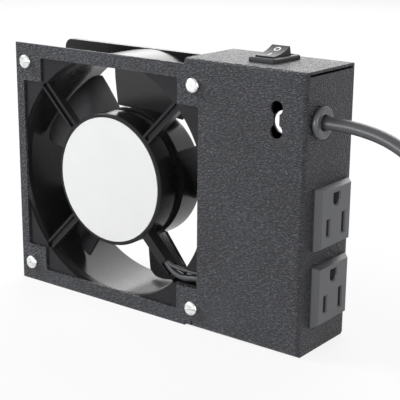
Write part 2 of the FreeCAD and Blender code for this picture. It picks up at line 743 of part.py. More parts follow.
# ---------------------------------------------------------------------------
# Fan housing
# ---------------------------------------------------------------------------

FAN_FRONT = D.gauge
FAN_BACK = D.gauge + D.fan_depth
TUBE_RADIUS = D.bearing_radius + D.seat_fit + D.tube_wall
STRUT_FRONT = FAN_FRONT + D.strut_setback
DUCT_OUTER = DUCT_BORE + D.duct_wall


def diagonal(outline, turn):
    """Turns a sketch about the fan's axis."""
    outline.sketch.AttachmentOffset = Placement(Vector(), Rotation(Vector(0, 0, 1), turn))
    return outline


def fan_frame():
    """The die-cast housing: two square flanges, a flared duct, and the motor cup on four struts."""
    owner = new_body("fan_frame")
    for name, start in (("Front", FAN_FRONT), ("Back", FAN_BACK - D.flange_thick)):
        flange = Outline(owner, "XZ", f"{name}Flange", start)
        flange.centred(D.fan_size, D.fan_size)
        flange.circle(DUCT_BORE + D.duct_wall / 2)
        flange.pad(D.flange_thick)
        if name == "Front":
            flare = FAN_FRONT + D.bell_depth
            Outline(owner, "XY", "Duct").polygon(
                [
                    (BELL_RADIUS, FAN_FRONT),
                    (DUCT_OUTER, FAN_FRONT),
                    (DUCT_OUTER, FAN_BACK),
                    (DUCT_BORE, FAN_BACK),
                    (DUCT_BORE, flare),
                    (DUCT_BORE + (BELL_RADIUS - DUCT_BORE) / 4, FAN_FRONT + D.bell_depth / 2),
                ]
            ).turn()
    half = FAN_HALF
    round_edges(
        owner,
        D.fan_corner,
        lambda e: straight(e, 1) and near(abs(middle(e).x), half) and near(abs(middle(e).z), half),
    )
    Outline(owner, "XZ", "Flare", FAN_FRONT - 1).circle(BELL_RADIUS).pocket(1.6)
    front = FAN_FRONT
    cup_back = FAN_FRONT + D.cup_depth
    wall = FAN_FRONT + D.cup_wall
    Outline(owner, "XY", "MotorCup").polygon(
        [
            (0, front + D.label_thick),
            (LABEL_RADIUS + D.label_fit, front + D.label_thick),
            (LABEL_RADIUS + D.label_fit, front),
            (D.cup_radius - 0.6, front),
            (D.cup_radius, front + 0.6),
            (D.cup_radius, cup_back),
            (D.cup_radius - D.cup_wall, cup_back),
            (D.cup_radius - D.cup_wall, wall),
            (TUBE_RADIUS, wall),
            (TUBE_RADIUS, D.tube_back),
            (D.bearing_radius + D.seat_fit, D.tube_back),
            (D.bearing_radius + D.seat_fit, wall),
            (0, wall),
        ]
    ).turn()
    inner = D.cup_radius - D.cup_wall / 2
    strut = diagonal(Outline(owner, "XZ", "Strut"), 45)
    bind(strut.sketch, "AttachmentOffset.Base.z", -STRUT_FRONT)
    strut.rectangle(inner, -D.strut_width / 2, DUCT_BORE + D.duct_wall / 2, D.strut_width / 2)
    arm = strut.pad(D.strut_depth)
    polar(owner, [arm], 4)
    channel = diagonal(Outline(owner, "XZ", "Channel"), 45)
    bind(channel.sketch, "AttachmentOffset.Base.z", 1 - STRUT_FRONT)
    channel.rectangle(D.cup_radius + 0.4, -D.channel_width / 2, DUCT_OUTER, D.channel_width / 2)
    groove = channel.pocket(1 + D.channel_depth)
    polar(owner, [groove], 4)
    strut = diagonal(Outline(owner, "XZ", "LeadStrut"), -45)
    bind(strut.sketch, "AttachmentOffset.Base.z", -STRUT_FRONT)
    strut.rectangle(inner, -D.strut_width / 2, DUCT_BORE + D.duct_wall / 2, D.strut_width / 2)
    strut.pad(D.lead_strut_depth)
    channel = diagonal(Outline(owner, "XZ", "LeadChannel"), -45)
    bind(channel.sketch, "AttachmentOffset.Base.z", 1 - STRUT_FRONT)
    channel.rectangle(D.cup_radius + 0.4, -D.lead_channel_width / 2, DUCT_OUTER, D.lead_channel_width / 2)
    channel.pocket(1 + D.lead_channel_depth)
    holes = Outline(owner, "XZ", "ScrewHoles", FAN_FRONT - 1)
    for x, z in SCREW_PLACES:
        holes.circle(D.fan_thread + D.hole_gap, x, z)
    holes.pocket(D.fan_depth + 2)
    Outline(owner, "XZ", "LeadNotch", FAN_FRONT - 1).rectangle(
        D.notch_start, -D.notch_z - D.notch_height / 2, half + 1, D.notch_height / 2 - D.notch_z
    ).pocket(1.1 + D.flange_thick)


def motor_label():
    """The bare round label let into the motor cup."""
    ring_front = FAN_FRONT - 0.05
    turned(
        "motor_label",
        [
            (0, ring_front),
            (LABEL_RADIUS, ring_front),
            (LABEL_RADIUS, FAN_FRONT + D.label_thick),
            (0, FAN_FRONT + D.label_thick),
        ],
    )


def channel_cap():
    """The strip that closes the inner part of the channel that the fan's leads run in."""
    owner = new_body("lead_channel_cap")
    cap = diagonal(Outline(owner, "XZ", "Strip"), 45)
    bind(cap.sketch, "AttachmentOffset.Base.z", D.cap_thick - STRUT_FRONT)
    cap.rectangle(D.cup_radius + 0.3, -D.cap_width / 2, D.cap_end, D.cap_width / 2)
    cap.pad(D.cap_thick)
    owner.Placement.Rotation = Rotation(Vector(0, 1, 0), 90)


# ---------------------------------------------------------------------------
# Motor and rotor
# ---------------------------------------------------------------------------


def motor():
    fit = D.running_fit
    for name, start in (("front_bearing", D.front_bearing), ("rear_bearing", D.rear_bearing)):
        ring(name, D.bearing_radius, D.shaft_radius + fit, start, D.bearing_width)
    spacer = D.front_bearing + D.bearing_width
    ring("bearing_spacer", D.bearing_radius, D.bearing_radius - 1.5, spacer, D.rear_bearing - spacer)
    tube = TUBE_RADIUS + D.seat_fit
    owner = new_body("stator_core")
    band = Outline(owner, "XZ", "Laminations", D.stator_front).circle(D.stator_radius).circle(tube)
    band.pad(D.stator_stack)
    slot = Outline(owner, "XZ", "Slot", D.stator_front - 1)
    slot.rectangle(tube + 4, -2.6, D.stator_radius - 2, 2.6)
    first = slot.pocket(D.stator_stack + 2)
    polar(owner, [first], D.stator_slots)
    mouth = Outline(owner, "XZ", "SlotMouth", D.stator_front - 1)
    mouth.rectangle(D.stator_radius - 3, -0.9, D.stator_radius + 1, 0.9)
    second = mouth.pocket(D.stator_stack + 2)
    polar(owner, [second], D.stator_slots)
    starts = {
        "front_winding": D.stator_front - D.winding_height,
        "rear_winding": D.stator_front + D.stator_stack,
    }
    for name, start in starts.items():
        ring(name, D.stator_radius - 1.5, tube + 3, start, D.winding_height)


def impeller():
    """The hub and its blades, moulded in one piece."""
    owner = new_body("impeller")
    inner = D.hub_radius - D.hub_wall
    floor = D.hub_back - D.hub_wall
    Outline(owner, "XY", "Hub").polygon(
        [
            (inner, D.hub_front),
            (D.hub_radius, D.hub_front),
            (D.hub_radius, D.hub_back),
            (0, D.hub_back),
            (0, D.shaft_back),
            (D.shaft_radius, D.shaft_back),
            (D.shaft_radius, D.hub_back - D.hub_wall - D.boss_length),
            (D.hub_boss, D.hub_back - D.hub_wall - D.boss_length),
            (D.hub_boss, floor),
            (inner, floor),
        ]
    ).turn()
    round_edges(
        owner,
        D.hub_edge,
        lambda e: near(middle(e).y, D.hub_back) and near(e.Length, 2 * math.pi * D.hub_radius.value, 0.1),
    )
    tip = DUCT_BORE - D.tip_gap
    root = D.hub_radius - D.hub_wall / 2
    stations = (
        ("Root", root, D.slope_root, -D.blade_sweep),
        ("Middle", D.mid_span, D.slope_mid, Size.of(0)),
        ("Tip", tip + 4, D.slope_tip, D.blade_sweep),
    )
    sections = [blade_section(owner, *station) for station in stations]
    blade = owner.newObject("PartDesign::AdditiveLoft", "Blade")
    blade.Profile = sections[0]
    blade.Sections = sections[1:]
    polar(owner, [blade], D.blade_count)
    front = D.blade_front - D.blade_sweep / 2
    back = D.blade_back + D.blade_sweep / 2
    inner = tip - D.corner_reach
    outline = [(inner, back + 5), (tip + 20, back + 5), (tip + 20, front - 5), (inner, front - 5)]
    outline += rounded_corner(tip, front, D.corner_reach, D.corner_depth)
    outline += rounded_corner(tip, back, D.corner_reach, -D.corner_depth)[::-1]
    Outline(owner, "XY", "TipTrim").polygon(outline).turn(kind="Groove")
    owner.Placement.Rotation = Rotation(Vector(0, 1, 0), D.rest_angle.value)
    bind(owner, "Placement.Rotation.Angle", D.rest_angle)


def rounded_corner(tip, edge, reach, depth):
    """A quarter of an ellipse from a blade's edge to its tip, as (radius, depth) points."""
    angles = [math.radians(15 * i) for i in range(7)]
    return [(tip - reach * (1 - math.sin(a)), edge + depth * (1 - math.cos(a))) for a in angles]


def blade_section(owner, name, radius, slope, sweep):
    """One cambered section of a blade, square to its span: depth runs along the sketch."""
    centre = (D.blade_front + D.blade_back) / 2
    half = (D.blade_back - D.blade_front) / 2 + sweep / 2
    rise = half * slope
    span = root(half * half + rise * rise)
    across = (rise / span, half / span)

    def spot(end, lift):
        return (centre + half * end + across[0] * lift, across[1] * lift - rise * end)

    outline = Outline(owner, "YZ", f"Blade{name}", radius)
    sides = []
    for side in (1, -1):
        edge = D.blade_edge * side / 2
        crown = D.blade_camber + D.blade_thick * side / 2
        lift = crown - edge
        bow = (span * span + lift * lift) / (2 * lift)
        sides.append(outline.arc(spot(-1, edge), spot(0, crown), spot(1, edge), bow))
    (upper, upper_ends), (lower, lower_ends) = sides
    for k in (0, 1):
        outline.chord((upper, upper_ends[k]), (lower, lower_ends[k]))
    return outline.sketch


def rotor():
    """What turns with the impeller: the shaft and the core pressed into the hub."""
    turned(
        "rotor_shaft",
        [
            (0, D.shaft_front),
            (D.shaft_radius - 0.4, D.shaft_front),
            (D.shaft_radius, D.shaft_front + 0.4),
            (D.shaft_radius, D.shaft_back),
            (0, D.shaft_back),
        ],
    )
    ring("rotor_core", D.hub_radius - D.hub_wall, D.stator_radius + D.air_gap, D.core_front, D.core_length)


# ---------------------------------------------------------------------------
# Rocker switch
# ---------------------------------------------------------------------------


def switch():
    """The snap-in housing, its terminals and the rocker, drawn about the middle of the cut-out."""
    at = (SWITCH_X, D.switch_y, FLANGE_TOP)
    owner = new_body("switch_housing", *at)
    Outline(owner, "XY", "Bezel").centred(D.bezel_width, D.bezel_length).pad(D.bezel_height)
    round_edges(
        owner,
        D.bezel_corner,
        lambda e: straight(e, 2) and near(abs(middle(e).x), D.bezel_width / 2),
    )
    round_edges(
        owner,
        D.bezel_height / 2,
        lambda e: near(middle(e).z, D.bezel_height)
        and max(abs(middle(e).x) / D.bezel_width.value, abs(middle(e).y) / D.bezel_length.value) > 0.4,
    )
    Outline(owner, "XY", "Body").centred(D.switch_width, D.switch_length).pad(D.switch_depth, -1)
    Outline(owner, "XY", "Well", -D.well_depth).centred(D.well_width, D.well_length).pocket(
        D.well_depth + D.bezel_height + 1
    )
    Outline(owner, "YZ", "PivotHoles", -D.switch_width / 2 + 0.4).circle(
        D.pivot_radius + D.running_fit, 0, -D.pivot_drop
    ).pocket(D.switch_width - 0.8)
    rocker(at)
    tabs = []
    for i in (-0.5, 0.5):
        tabs.append(
            block(
                "SwitchTab",
                SWITCH_X,
                D.switch_y + D.tab_pitch * i,
                FLANGE_TOP - D.switch_depth - D.tab_length / 2,
                D.tab_width,
                D.tab_thick,
                D.tab_length,
            )
        )
    gather("switch_terminals", tabs)


def rocker(at):
    """The rocker, drawn level about its pivot and then tipped with its front end down."""
    x, y, z = at
    owner = new_body("switch_rocker", x, y, z - D.pivot_drop)
    outline = Outline(owner, "YZ", "Side", -D.rocker_width / 2)
    half = D.rocker_half
    lift = D.rocker_end - D.rocker_dip
    bow = (half * half + lift * lift) / (2 * lift)
    number, ends = outline.arc((-half, D.rocker_end), (0, D.rocker_dip), (half, D.rocker_end), bow)
    corners = [
        (half, D.rocker_end / 4),
        (half / 3, -D.rocker_end / 2),
        (-half / 3, -D.rocker_end / 2),
        (-half, D.rocker_end / 4),
    ]
    outline_chain(outline, (number, ends[1]), corners, (number, ends[0]))
    outline.pad(D.rocker_width)
    pins = D.switch_width - 1
    Outline(owner, "YZ", "Pins", -pins / 2).circle(D.pivot_radius).pad(pins)
    owner.Placement.Rotation = Rotation(Vector(1, 0, 0), D.rocker_tilt.value)
    bind(owner, "Placement.Rotation.Angle", D.rocker_tilt)


def outline_chain(outline, start, corners, end):
    """Straight lines from the end of one curve through corners to the end of another."""
    sketch = outline.sketch
    points = [sketch.getPoint(*start)]
    points += [Vector(Size.of(x).value, Size.of(y).value, 0) for x, y in corners]
    points.append(sketch.getPoint(*end))
    lines = [Part.LineSegment(a, b) for a, b in zip(points, points[1:])]
    numbers = sketch.addGeometry(lines, False)
    for number, (x, y) in zip(numbers[1:], corners):
        outline.fix(number, 1, x, y)
    joints = [(start, (numbers[0], 1))]
    joints += [((a, 2), (b, 1)) for a, b in zip(numbers, numbers[1:])]
    joints.append(((numbers[-1], 2), end))
    for first, second in joints:
        sketch.addConstraint(Sketcher.Constraint("Coincident", *first, *second))


# ---------------------------------------------------------------------------
# Outlets
# ---------------------------------------------------------------------------


def mouth_edges(edge):
    """The rims of the three slots on an outlet's face, in the outlet's own frame."""
    place = middle(edge)
    inside = abs(place.y) < D.outlet_width.value / 2 - 1 and abs(place.z) < D.outlet_height.value / 2 - 1
    return near(middle(edge).x, D.outlet_proud) and inside


def outlet(name, height):
    """A snap-in outlet: a moulded front, its back, and three sprung contacts."""
    at = (PLATE_RIGHT, OUTLET_Y, height)
    owner = new_body(f"{name}_outlet", *at)
    Outline(owner, "YZ", "Rim").centred(D.outlet_base_width, D.outlet_base_height).pad(D.outlet_rim)
    base = Outline(owner, "YZ", "FaceBase", D.outlet_rim).centred(D.outlet_base_width, D.outlet_base_height)
    face = Outline(owner, "YZ", "Face", D.outlet_proud).centred(D.outlet_width, D.outlet_height)
    raised = owner.newObject("PartDesign::AdditiveLoft", "RaisedFace")
    raised.Profile = base.sketch
    raised.Sections = [face.sketch]
    block = Outline(owner, "YZ", "Body").centred(D.outlet_body_width, D.outlet_body_height)
    block.pad(D.outlet_body_depth, -1)
    depth = D.outlet_proud + D.outlet_body_depth + 2
    slots = Outline(owner, "YZ", "Slots", D.outlet_proud + 1)
    slots.centred(D.slot_width, D.live_height, -D.blade_spacing / 2, -D.blade_drop)
    slots.centred(D.slot_width, D.neutral_height, D.blade_spacing / 2, -D.blade_drop)
    slots.pocket(depth, -1)
    earth_hole(owner, depth)
    round_edges(owner, D.lead_in, mouth_edges, "Chamfer")
    chambers = Outline(owner, "YZ", "Chambers", -D.outlet_body_depth - 1)
    for y, z in contact_places():
        chambers.centred(D.contact_width + 0.6, D.neutral_height + 0.6, y, z)
    chambers.pocket(D.outlet_body_depth + 1 + D.outlet_proud - D.front_wall)
    back = new_body(f"{name}_outlet_back", *at)
    Outline(back, "YZ", "Back", -D.outlet_body_depth).centred(D.outlet_body_width, D.outlet_body_height).pad(
        D.outlet_back_depth, -1
    )
    round_edges(back, 1.5, lambda e: straight(e, 0))
    tabs = Outline(back, "YZ", "TabSlots", -D.outlet_body_depth - D.outlet_back_depth - 1)
    for y, z in contact_places():
        tabs.centred(D.contact_gauge + 0.2, D.tab_width + 0.2, y, z)
    tabs.pocket(D.outlet_back_depth + 2)
    contacts(name, at)


def earth_hole(owner, depth):
    """The earth hole: round below and flat above."""
    radius = D.earth_radius
    rise = D.pin_rise
    Outline(owner, "YZ", "EarthRound", D.outlet_proud + 1).circle(radius, 0, rise).pocket(depth, -1)
    Outline(owner, "YZ", "EarthFlat", D.outlet_proud + 1).rectangle(
        -radius, rise, radius, rise + D.earth_flat
    ).pocket(depth, -1)


def contact_places():
    """The middles of an outlet's three contacts, across and up from its own middle."""
    half = D.blade_spacing / 2
    return [(-half, -D.blade_drop), (half, -D.blade_drop), (Size.of(0), D.pin_rise - 1.0)]


def contacts(name, at):
    """Three folded brass clips, each with a push-on tab through the outlet's back."""
    x, y, z = at
    front = D.outlet_proud - D.front_wall - 0.3
    pieces = []
    for i, (across, up) in enumerate(contact_places()):
        outer = D.contact_width
        back = x + front - D.contact_depth
        clip = rod_box(
            f"{name}Clip{i}", back, y + across, z + up, D.contact_depth, outer, D.contact_height
        )
        gap = rod_box(
            f"{name}Gap{i}",
            x + front - D.contact_depth + D.contact_gauge,
            y + across,
            z + up,
            D.contact_depth,
            outer - 2 * D.contact_gauge,
            D.contact_height + 1,
        )
        folded = boolean("Cut", f"{name}Fold{i}", clip, gap)
        tab_start = x - D.outlet_body_depth - D.outlet_back_depth - D.tab_length
        tab = rod_box(
            f"{name}Tab{i}",
            tab_start,
            y + across,
            z + up,
            x + front - D.contact_depth + D.contact_gauge / 2 - tab_start,
            D.contact_gauge,
            D.tab_width,
        )
        pieces.append(boolean("Fuse", f"{name}Contact{i}", folded, tab))
    gather(f"{name}_outlet_contacts", pieces)


def rod_box(name, x, y, z, length, width, height):
    """A box about a middle y and z, from x towards the right."""
    item = block(name, x, y - Size.of(width) / 2, z, length, width, height)
    bind(item, "Placement.Base.x", x)
    return item


# ---------------------------------------------------------------------------
# Grommet, cord and leads
# ---------------------------------------------------------------------------


def grommet():
    """The rubber bush round the cord, and the crimped ring that stops the cord being pulled out."""
    at = (PLATE_RIGHT, D.grommet_y, D.grommet_z)
    owner = new_body("cord_grommet", *at)
    bore = D.cord_radius + D.cord_gap
    Outline(owner, "XY", "Profile").polygon(
        [
            (-D.gauge - D.grommet_back, bore),
            (-D.gauge - D.grommet_back, D.grommet_inner - 1),
            (-D.gauge - D.grommet_back + 1, D.grommet_inner),
            (-D.gauge, D.grommet_inner),
            (-D.gauge, D.grommet_neck),
            (0, D.grommet_neck),
            (0, D.grommet_radius),
            (D.grommet_proud, D.grommet_radius),
            (D.grommet_proud, bore),
        ]
    ).turn("H_Axis")
    round_edges(
        owner,
        D.grommet_proud / 2.4,
        lambda e: near(middle(e).x, D.grommet_proud) or (
            near(middle(e).x, 0) and near(e.Length, 2 * math.pi * D.grommet_radius.value, 0.2)
        ),
    )
    owner = new_body("cord_clamp", *at)
    back = -D.gauge - D.grommet_back
    start = back - D.clamp_length
    band = Outline(owner, "XY", "Profile").rectangle(start, D.cord_radius + D.seat_fit, back, D.clamp_radius)
    band.turn("H_Axis")


def tube(label, points, radius, seat=None):
    """A round tube along straight runs and the largest arcs between them, cut to lie against its seat."""
    points = [Vector(*(Size.of(c).value for c in p)) for p in points]
    radius = Size.of(radius).value
    edges = []
    at = points[0]
    for before, corner, after in zip(points, points[1:], points[2:]):
        back = (before - corner).normalize()
        on = (after - corner).normalize()
        shorter = min((before - corner).Length, (after - corner).Length)
        reach = 0.45 * shorter
        half_turn = (math.pi - back.getAngle(on)) / 2
        bend = reach / math.tan(half_turn)
        start = corner + back * reach
        end = corner + on * reach
        inward = (back + on).normalize()
        crown = corner + inward * (bend / math.cos(half_turn) - bend)
        edges.append(Part.LineSegment(at, start).toShape())
        edges.append(Part.Arc(start, crown, end).toShape())
        at = end
        print(f"{label}: arc of radius {bend:.1f} mm, {bend / (2 * radius):.1f} diameters")
    edges.append(Part.LineSegment(at, points[-1]).toShape())
    path = Part.Wire(edges)
    section = Part.Wire([Part.Circle(points[0], points[1] - points[0], radius).toShape()])
    solid = path.makePipeShell([section], True, False)
    expected = math.pi * radius**2 * path.Length
    if abs(solid.Volume / expected - 1) > 0.005:
        raise RuntimeError(f"{label} has volume {solid.Volume:.1f}, not {expected:.1f}")
    print(f"{label}: {path.Length:.1f} mm long")
    item = doc.addObject("Part::Feature", label if seat is None else f"{label}_run")
    item.Shape = solid
    place(item)
    if seat is not None:
        item = boolean("Cut", label, item, seat)
    return finish(item, label)


FLOOR = D.cord_radius + 0.05 - PLATE_BOTTOM


def hank():
    """The spare cord, folded into a tied hank of stacked turns on the floor in line with the part."""
    owner = new_body("cord_coil", 241.9, ORIGIN_Y, -PLATE_BOTTOM)
    half_run = 50.0
    inner = 3 * 2 * D.cord_radius - D.cord_radius
    outer = inner + 2 * D.cord_radius
    height = 5 * 2 * D.cord_radius
    for name, radius, cut in (("Turns", outer, False), ("Hollow", inner, True)):
        run = Outline(owner, "XY", f"{name}Run", 0.05)
        run.rectangle(-half_run, -radius, half_run, radius)
        run.pocket(height, 1) if cut else run.pad(height)
        for side in (-1, 1):
            end = Outline(owner, "XY", f"{name}End", 0.05)
            end.circle(radius, side * half_run, 0)
            end.pocket(height, 1) if cut else end.pad(height)
    return owner


def cords():
    """The mains cord, its hank on the floor beside the part, and its plug."""
    y = D.grommet_y
    z = D.grommet_z
    spare = hank()
    tube(
        "power_cord",
        [
            (D.sheath_end, y, z),
            (144.0, y, z),
            (171.0, 9.0, 13.5),
            (193.0, 4.0, -19.5),
            (235.0, 1.9, -30.3),
            (257.0, 1.9, -30.6),
        ],
        D.cord_radius,
        seat=spare,
    )
    tube(
        "plug_cord",
        [(302.4, 0.6, FLOOR), (316.9, 1.9, -58.5), (331.4, 6.75, -52.4), (344.9, 8.6, -50.2)],
        D.cord_radius,
        seat=spare,
    )
    plug()


def plug():
    """The moulded plug, lying with its pins to the right."""
    at = (345.65, 8.65, -49.75)
    owner = new_body("plug_body", *at)
    Outline(owner, "XY", "Profile").polygon(
        [(0.0, 0.0), (0.0, 4.4), (15.0, 5.4), (25.0, 10.5), (31.0, 12.4), (42.0, 12.4), (42.0, 0.0)]
    ).turn("H_Axis")
    round_edges(owner, 1.2, lambda e: near(middle(e).x, 42.0))
    for side in (1, -1):
        Outline(owner, "XZ", "Flat", 11.0 * side).rectangle(-1.0, -14.0, 44.0, 14.0).pocket(5.0, side)
    x, y, z = at
    front = x + Size.of(42.0)
    sides = (Size.of(16.0), Size.of(1.5), Size.of(6.3))
    blades = [
        rod_box(f"PlugBlade{i}", front, y + D.blade_spacing * i, z - D.blade_drop, *sides)
        for i in (-0.5, 0.5)
    ]
    gather("plug_blades", blades)
    owner = new_body("plug_earth_pin", *at)
    pin = Outline(owner, "YZ", "Pin", 42.0).circle(2.4, 0, D.pin_rise)
    pin.pad(19.0)
    round_edges(owner, 2.0, lambda e: near(middle(e).x, 61.0))


def fan_lead():
    """The sleeve with the fan's two leads: along its strut, over the notch and into the box."""
    depth = STRUT_FRONT + D.lead_channel_depth - D.sleeve_bed - D.sleeve_radius
    start = (D.cup_radius + 0.6) * math.sqrt(0.5)
    corner = D.notch_start + 4.2
    tube(
        "lead_sleeve",
        [
            (start, depth, -start),
            (corner, depth, -corner),
            (OPENING_HALF + 1, depth + 0.2, -D.notch_z),
            (COVER_LEFT + 8.4, depth + 1.6, 0.4 - D.notch_z),
        ],
        D.sleeve_radius,
    )


# ---------------------------------------------------------------------------
# Build, check and export
# ---------------------------------------------------------------------------


def check():
    """Stops if any object failed, any cut removed nothing, or any sub-part isn't sound."""
    doc.recompute()
    for item in doc.Objects:
        if "Invalid" in item.State or "Error" in item.State:
            raise RuntimeError(f"{item.Name} ({item.Label}) failed: {item.State}")
        base = getattr(item, "BaseFeature", None)
        if base is None or item.TypeId not in GROWS + CUTS:
            continue
        change = item.Shape.Volume - base.Shape.Volume
        if (change < 1e-3) if item.TypeId in GROWS else (change > -1e-3):
            raise RuntimeError(f"{item.Name} of {item.getParent().Label} changes the volume by {change:.4f}")
    for item in SUB_PARTS:
        if item.Shape.isNull() or not item.Shape.isValid() or not item.Shape.Solids:
            raise RuntimeError(f"{item.Label} isn't a sound solid")


def export():
    os.makedirs("parts", exist_ok=True)
    for item in SUB_PARTS:
        item.Shape.exportStep(os.path.join("parts", f"{item.Label}.step"))
        box = item.Shape.BoundBox
        print(f"{item.Label}: {len(item.Shape.Solids)} solid(s), {item.Shape.Volume:.1f} mm3, "
              f"x {box.XMin:.1f}..{box.XMax:.1f} y {box.YMin:.1f}..{box.YMax:.1f} "
              f"z {box.ZMin:.1f}..{box.ZMax:.1f}")


face_plate()
rear_cover()
fasteners()
fan_frame()
motor_label()
channel_cap()
motor()
impeller()
rotor()
switch()
for outlet_name, outlet_height in OUTLET_HEIGHTS:
    outlet(outlet_name, outlet_height)
grommet()
cords()
fan_lead()
check()
export()
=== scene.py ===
"""A fan bolted behind a folded steel panel, with its wiring box, switch, two outlets and mains cord."""

import json
import logging
import math
from dataclasses import dataclass
from enum import Enum
from typing import Any, Callable, Sequence, Union

import bmesh
import bpy
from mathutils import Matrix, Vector

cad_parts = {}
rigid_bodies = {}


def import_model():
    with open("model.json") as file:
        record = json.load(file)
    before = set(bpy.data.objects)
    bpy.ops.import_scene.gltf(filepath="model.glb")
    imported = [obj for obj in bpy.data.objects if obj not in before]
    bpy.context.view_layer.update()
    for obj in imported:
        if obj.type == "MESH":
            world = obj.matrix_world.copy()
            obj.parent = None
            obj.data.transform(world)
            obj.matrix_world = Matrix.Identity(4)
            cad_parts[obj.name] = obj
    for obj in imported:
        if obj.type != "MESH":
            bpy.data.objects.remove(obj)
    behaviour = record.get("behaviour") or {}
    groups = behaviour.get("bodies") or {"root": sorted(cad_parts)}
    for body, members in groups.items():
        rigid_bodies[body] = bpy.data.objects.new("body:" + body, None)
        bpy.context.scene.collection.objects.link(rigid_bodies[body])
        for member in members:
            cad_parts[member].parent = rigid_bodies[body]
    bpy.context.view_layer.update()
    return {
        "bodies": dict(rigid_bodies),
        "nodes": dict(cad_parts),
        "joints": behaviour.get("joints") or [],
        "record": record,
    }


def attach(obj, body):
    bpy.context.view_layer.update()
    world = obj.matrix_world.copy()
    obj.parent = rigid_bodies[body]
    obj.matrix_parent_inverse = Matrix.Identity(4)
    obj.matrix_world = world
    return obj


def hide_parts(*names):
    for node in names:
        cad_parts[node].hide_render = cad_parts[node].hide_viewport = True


LOG = logging.getLogger("fan_panel")
PER_METRE = 1000.0
"""Millimetres in a metre."""
MIDDLE = 0.5
"""The middle value of a noise."""
NEAR = 1e-6
"""How close two places are that count as one, in metres."""
SAME_LEVEL = 1e-5
"""How close an edge is to the level that it is picked by, in metres."""
FACING = 0.9
"""How much of a face's normal lies along the axis that it is picked by."""
QUARTER = math.pi / 2.0
"""A quarter turn, in radians."""
OPAQUE = 1.0
"""The alpha that a colour's socket holds beside the colour."""
MIX_INPUTS = (0, 6, 7)
"""A Mix node's factor and its two colours, whose names it also gives to other kinds of value."""
MIX_RESULT = 2
"""A Mix node's mixed colour."""

Colour = tuple[float, float, float]
Point = tuple[float, float, float]
Band = tuple[float, float]
Socket = bpy.types.NodeSocket


def toned(colour: Colour, share: float) -> Colour:
    """Makes a colour paler or darker by a share."""
    return colour[0] * share, colour[1] * share, colour[2] * share


# ---------------------------------------------------------------------------
# Shader arithmetic
# ---------------------------------------------------------------------------


class Signal:
    """A shader value on which Python's operators add Math nodes."""

    def __init__(self, tree: "Tree", socket: Socket) -> None:
        """Wraps one output socket of a tree."""
        self.tree = tree
        self.socket = socket

    def _math(self, operation: str, first: "Term", second: "Term") -> "Signal":
        """Adds one Math node."""
        node = self.tree.node("ShaderNodeMath", {"operation": operation}, {0: first, 1: second})
        return Signal(self.tree, node.outputs[0])

    def __add__(self, other: "Term") -> "Signal":
        """Adds."""
        return self._math("ADD", self, other)

    def __radd__(self, other: float) -> "Signal":
        """Adds to a number."""
        return self._math("ADD", other, self)

    def __sub__(self, other: "Term") -> "Signal":
        """Subtracts."""
        return self._math("SUBTRACT", self, other)

    def __rsub__(self, other: float) -> "Signal":
        """Subtracts from a number."""
        return self._math("SUBTRACT", other, self)

    def __mul__(self, other: "Term") -> "Signal":
        """Multiplies."""
        return self._math("MULTIPLY", self, other)

    def __rmul__(self, other: float) -> "Signal":
        """Multiplies a number."""
        return self._math("MULTIPLY", other, self)

    def __or__(self, other: "Term") -> "Signal":
        """Takes the larger, so that it is 1 where either is 1."""
        return self._math("MAXIMUM", self, other)

    def band(self, span: Band) -> "Signal":
        """Maps a span smoothly onto 0 to 1, and holds it outside.

        Args:
            span: The value that gives 0, and the value that gives 1.

        Returns:
            The mapped value.
        """
        node = self.tree.node(
            "ShaderNodeMapRange",
            {"interpolation_type": "SMOOTHSTEP"},
            {"Value": self, "From Min": span[0], "From Max": span[1], "To Min": 0.0, "To Max": 1.0},
        )
        return Signal(self.tree, node.outputs["Result"])


Term = Union[Signal, float]


class Tree:
    """A node tree that is built up node by node."""

    def __init__(self, tree: bpy.types.NodeTree) -> None:
        """Takes over a node tree and empties it."""
        self.tree = tree
        self.tree.nodes.clear()

    def node(
        self,
        kind: str,
        settings: dict[str, object] | None = None,
        inputs: dict[Union[str, int], object] | None = None,
    ) -> bpy.types.Node:
        """Adds any node: its settings first, then its sockets' values or links.

        Args:
            kind: The node's type.
            settings: Its properties.
            inputs: What goes into its sockets, by name or number.

        Returns:
            The node.
        """
        made = self.tree.nodes.new(kind)
        for name, value in (settings or {}).items():
            setattr(made, name, value)
        for name, value in (inputs or {}).items():
            self.feed(made.inputs[name], value)
        return made

    def feed(self, socket: Socket, value: object) -> None:
        """Links a socket, or sets its own value.

        Args:
            socket: The input.
            value: A signal, an output socket, a colour, a vector or a number.
        """
        if isinstance(value, Signal):
            value = value.socket
        if isinstance(value, Socket):
            self.tree.links.new(value, socket)
        elif isinstance(value, tuple) and len(value) < len(socket.default_value):
            socket.default_value = (*value, OPAQUE)
        else:
            socket.default_value = value

    def shown(self) -> Signal:
        """Picks out the rays that show the background: the camera's, and those that metal and glass send on.

        Returns:
            1 for these rays, and 0 for the rest.
        """
        path = self.node("ShaderNodeLightPath")
        camera, glossy, passed = (
            Signal(self, path.outputs[f"Is {kind} Ray"]) for kind in ("Camera", "Glossy", "Transmission")
        )
        return camera | glossy | passed


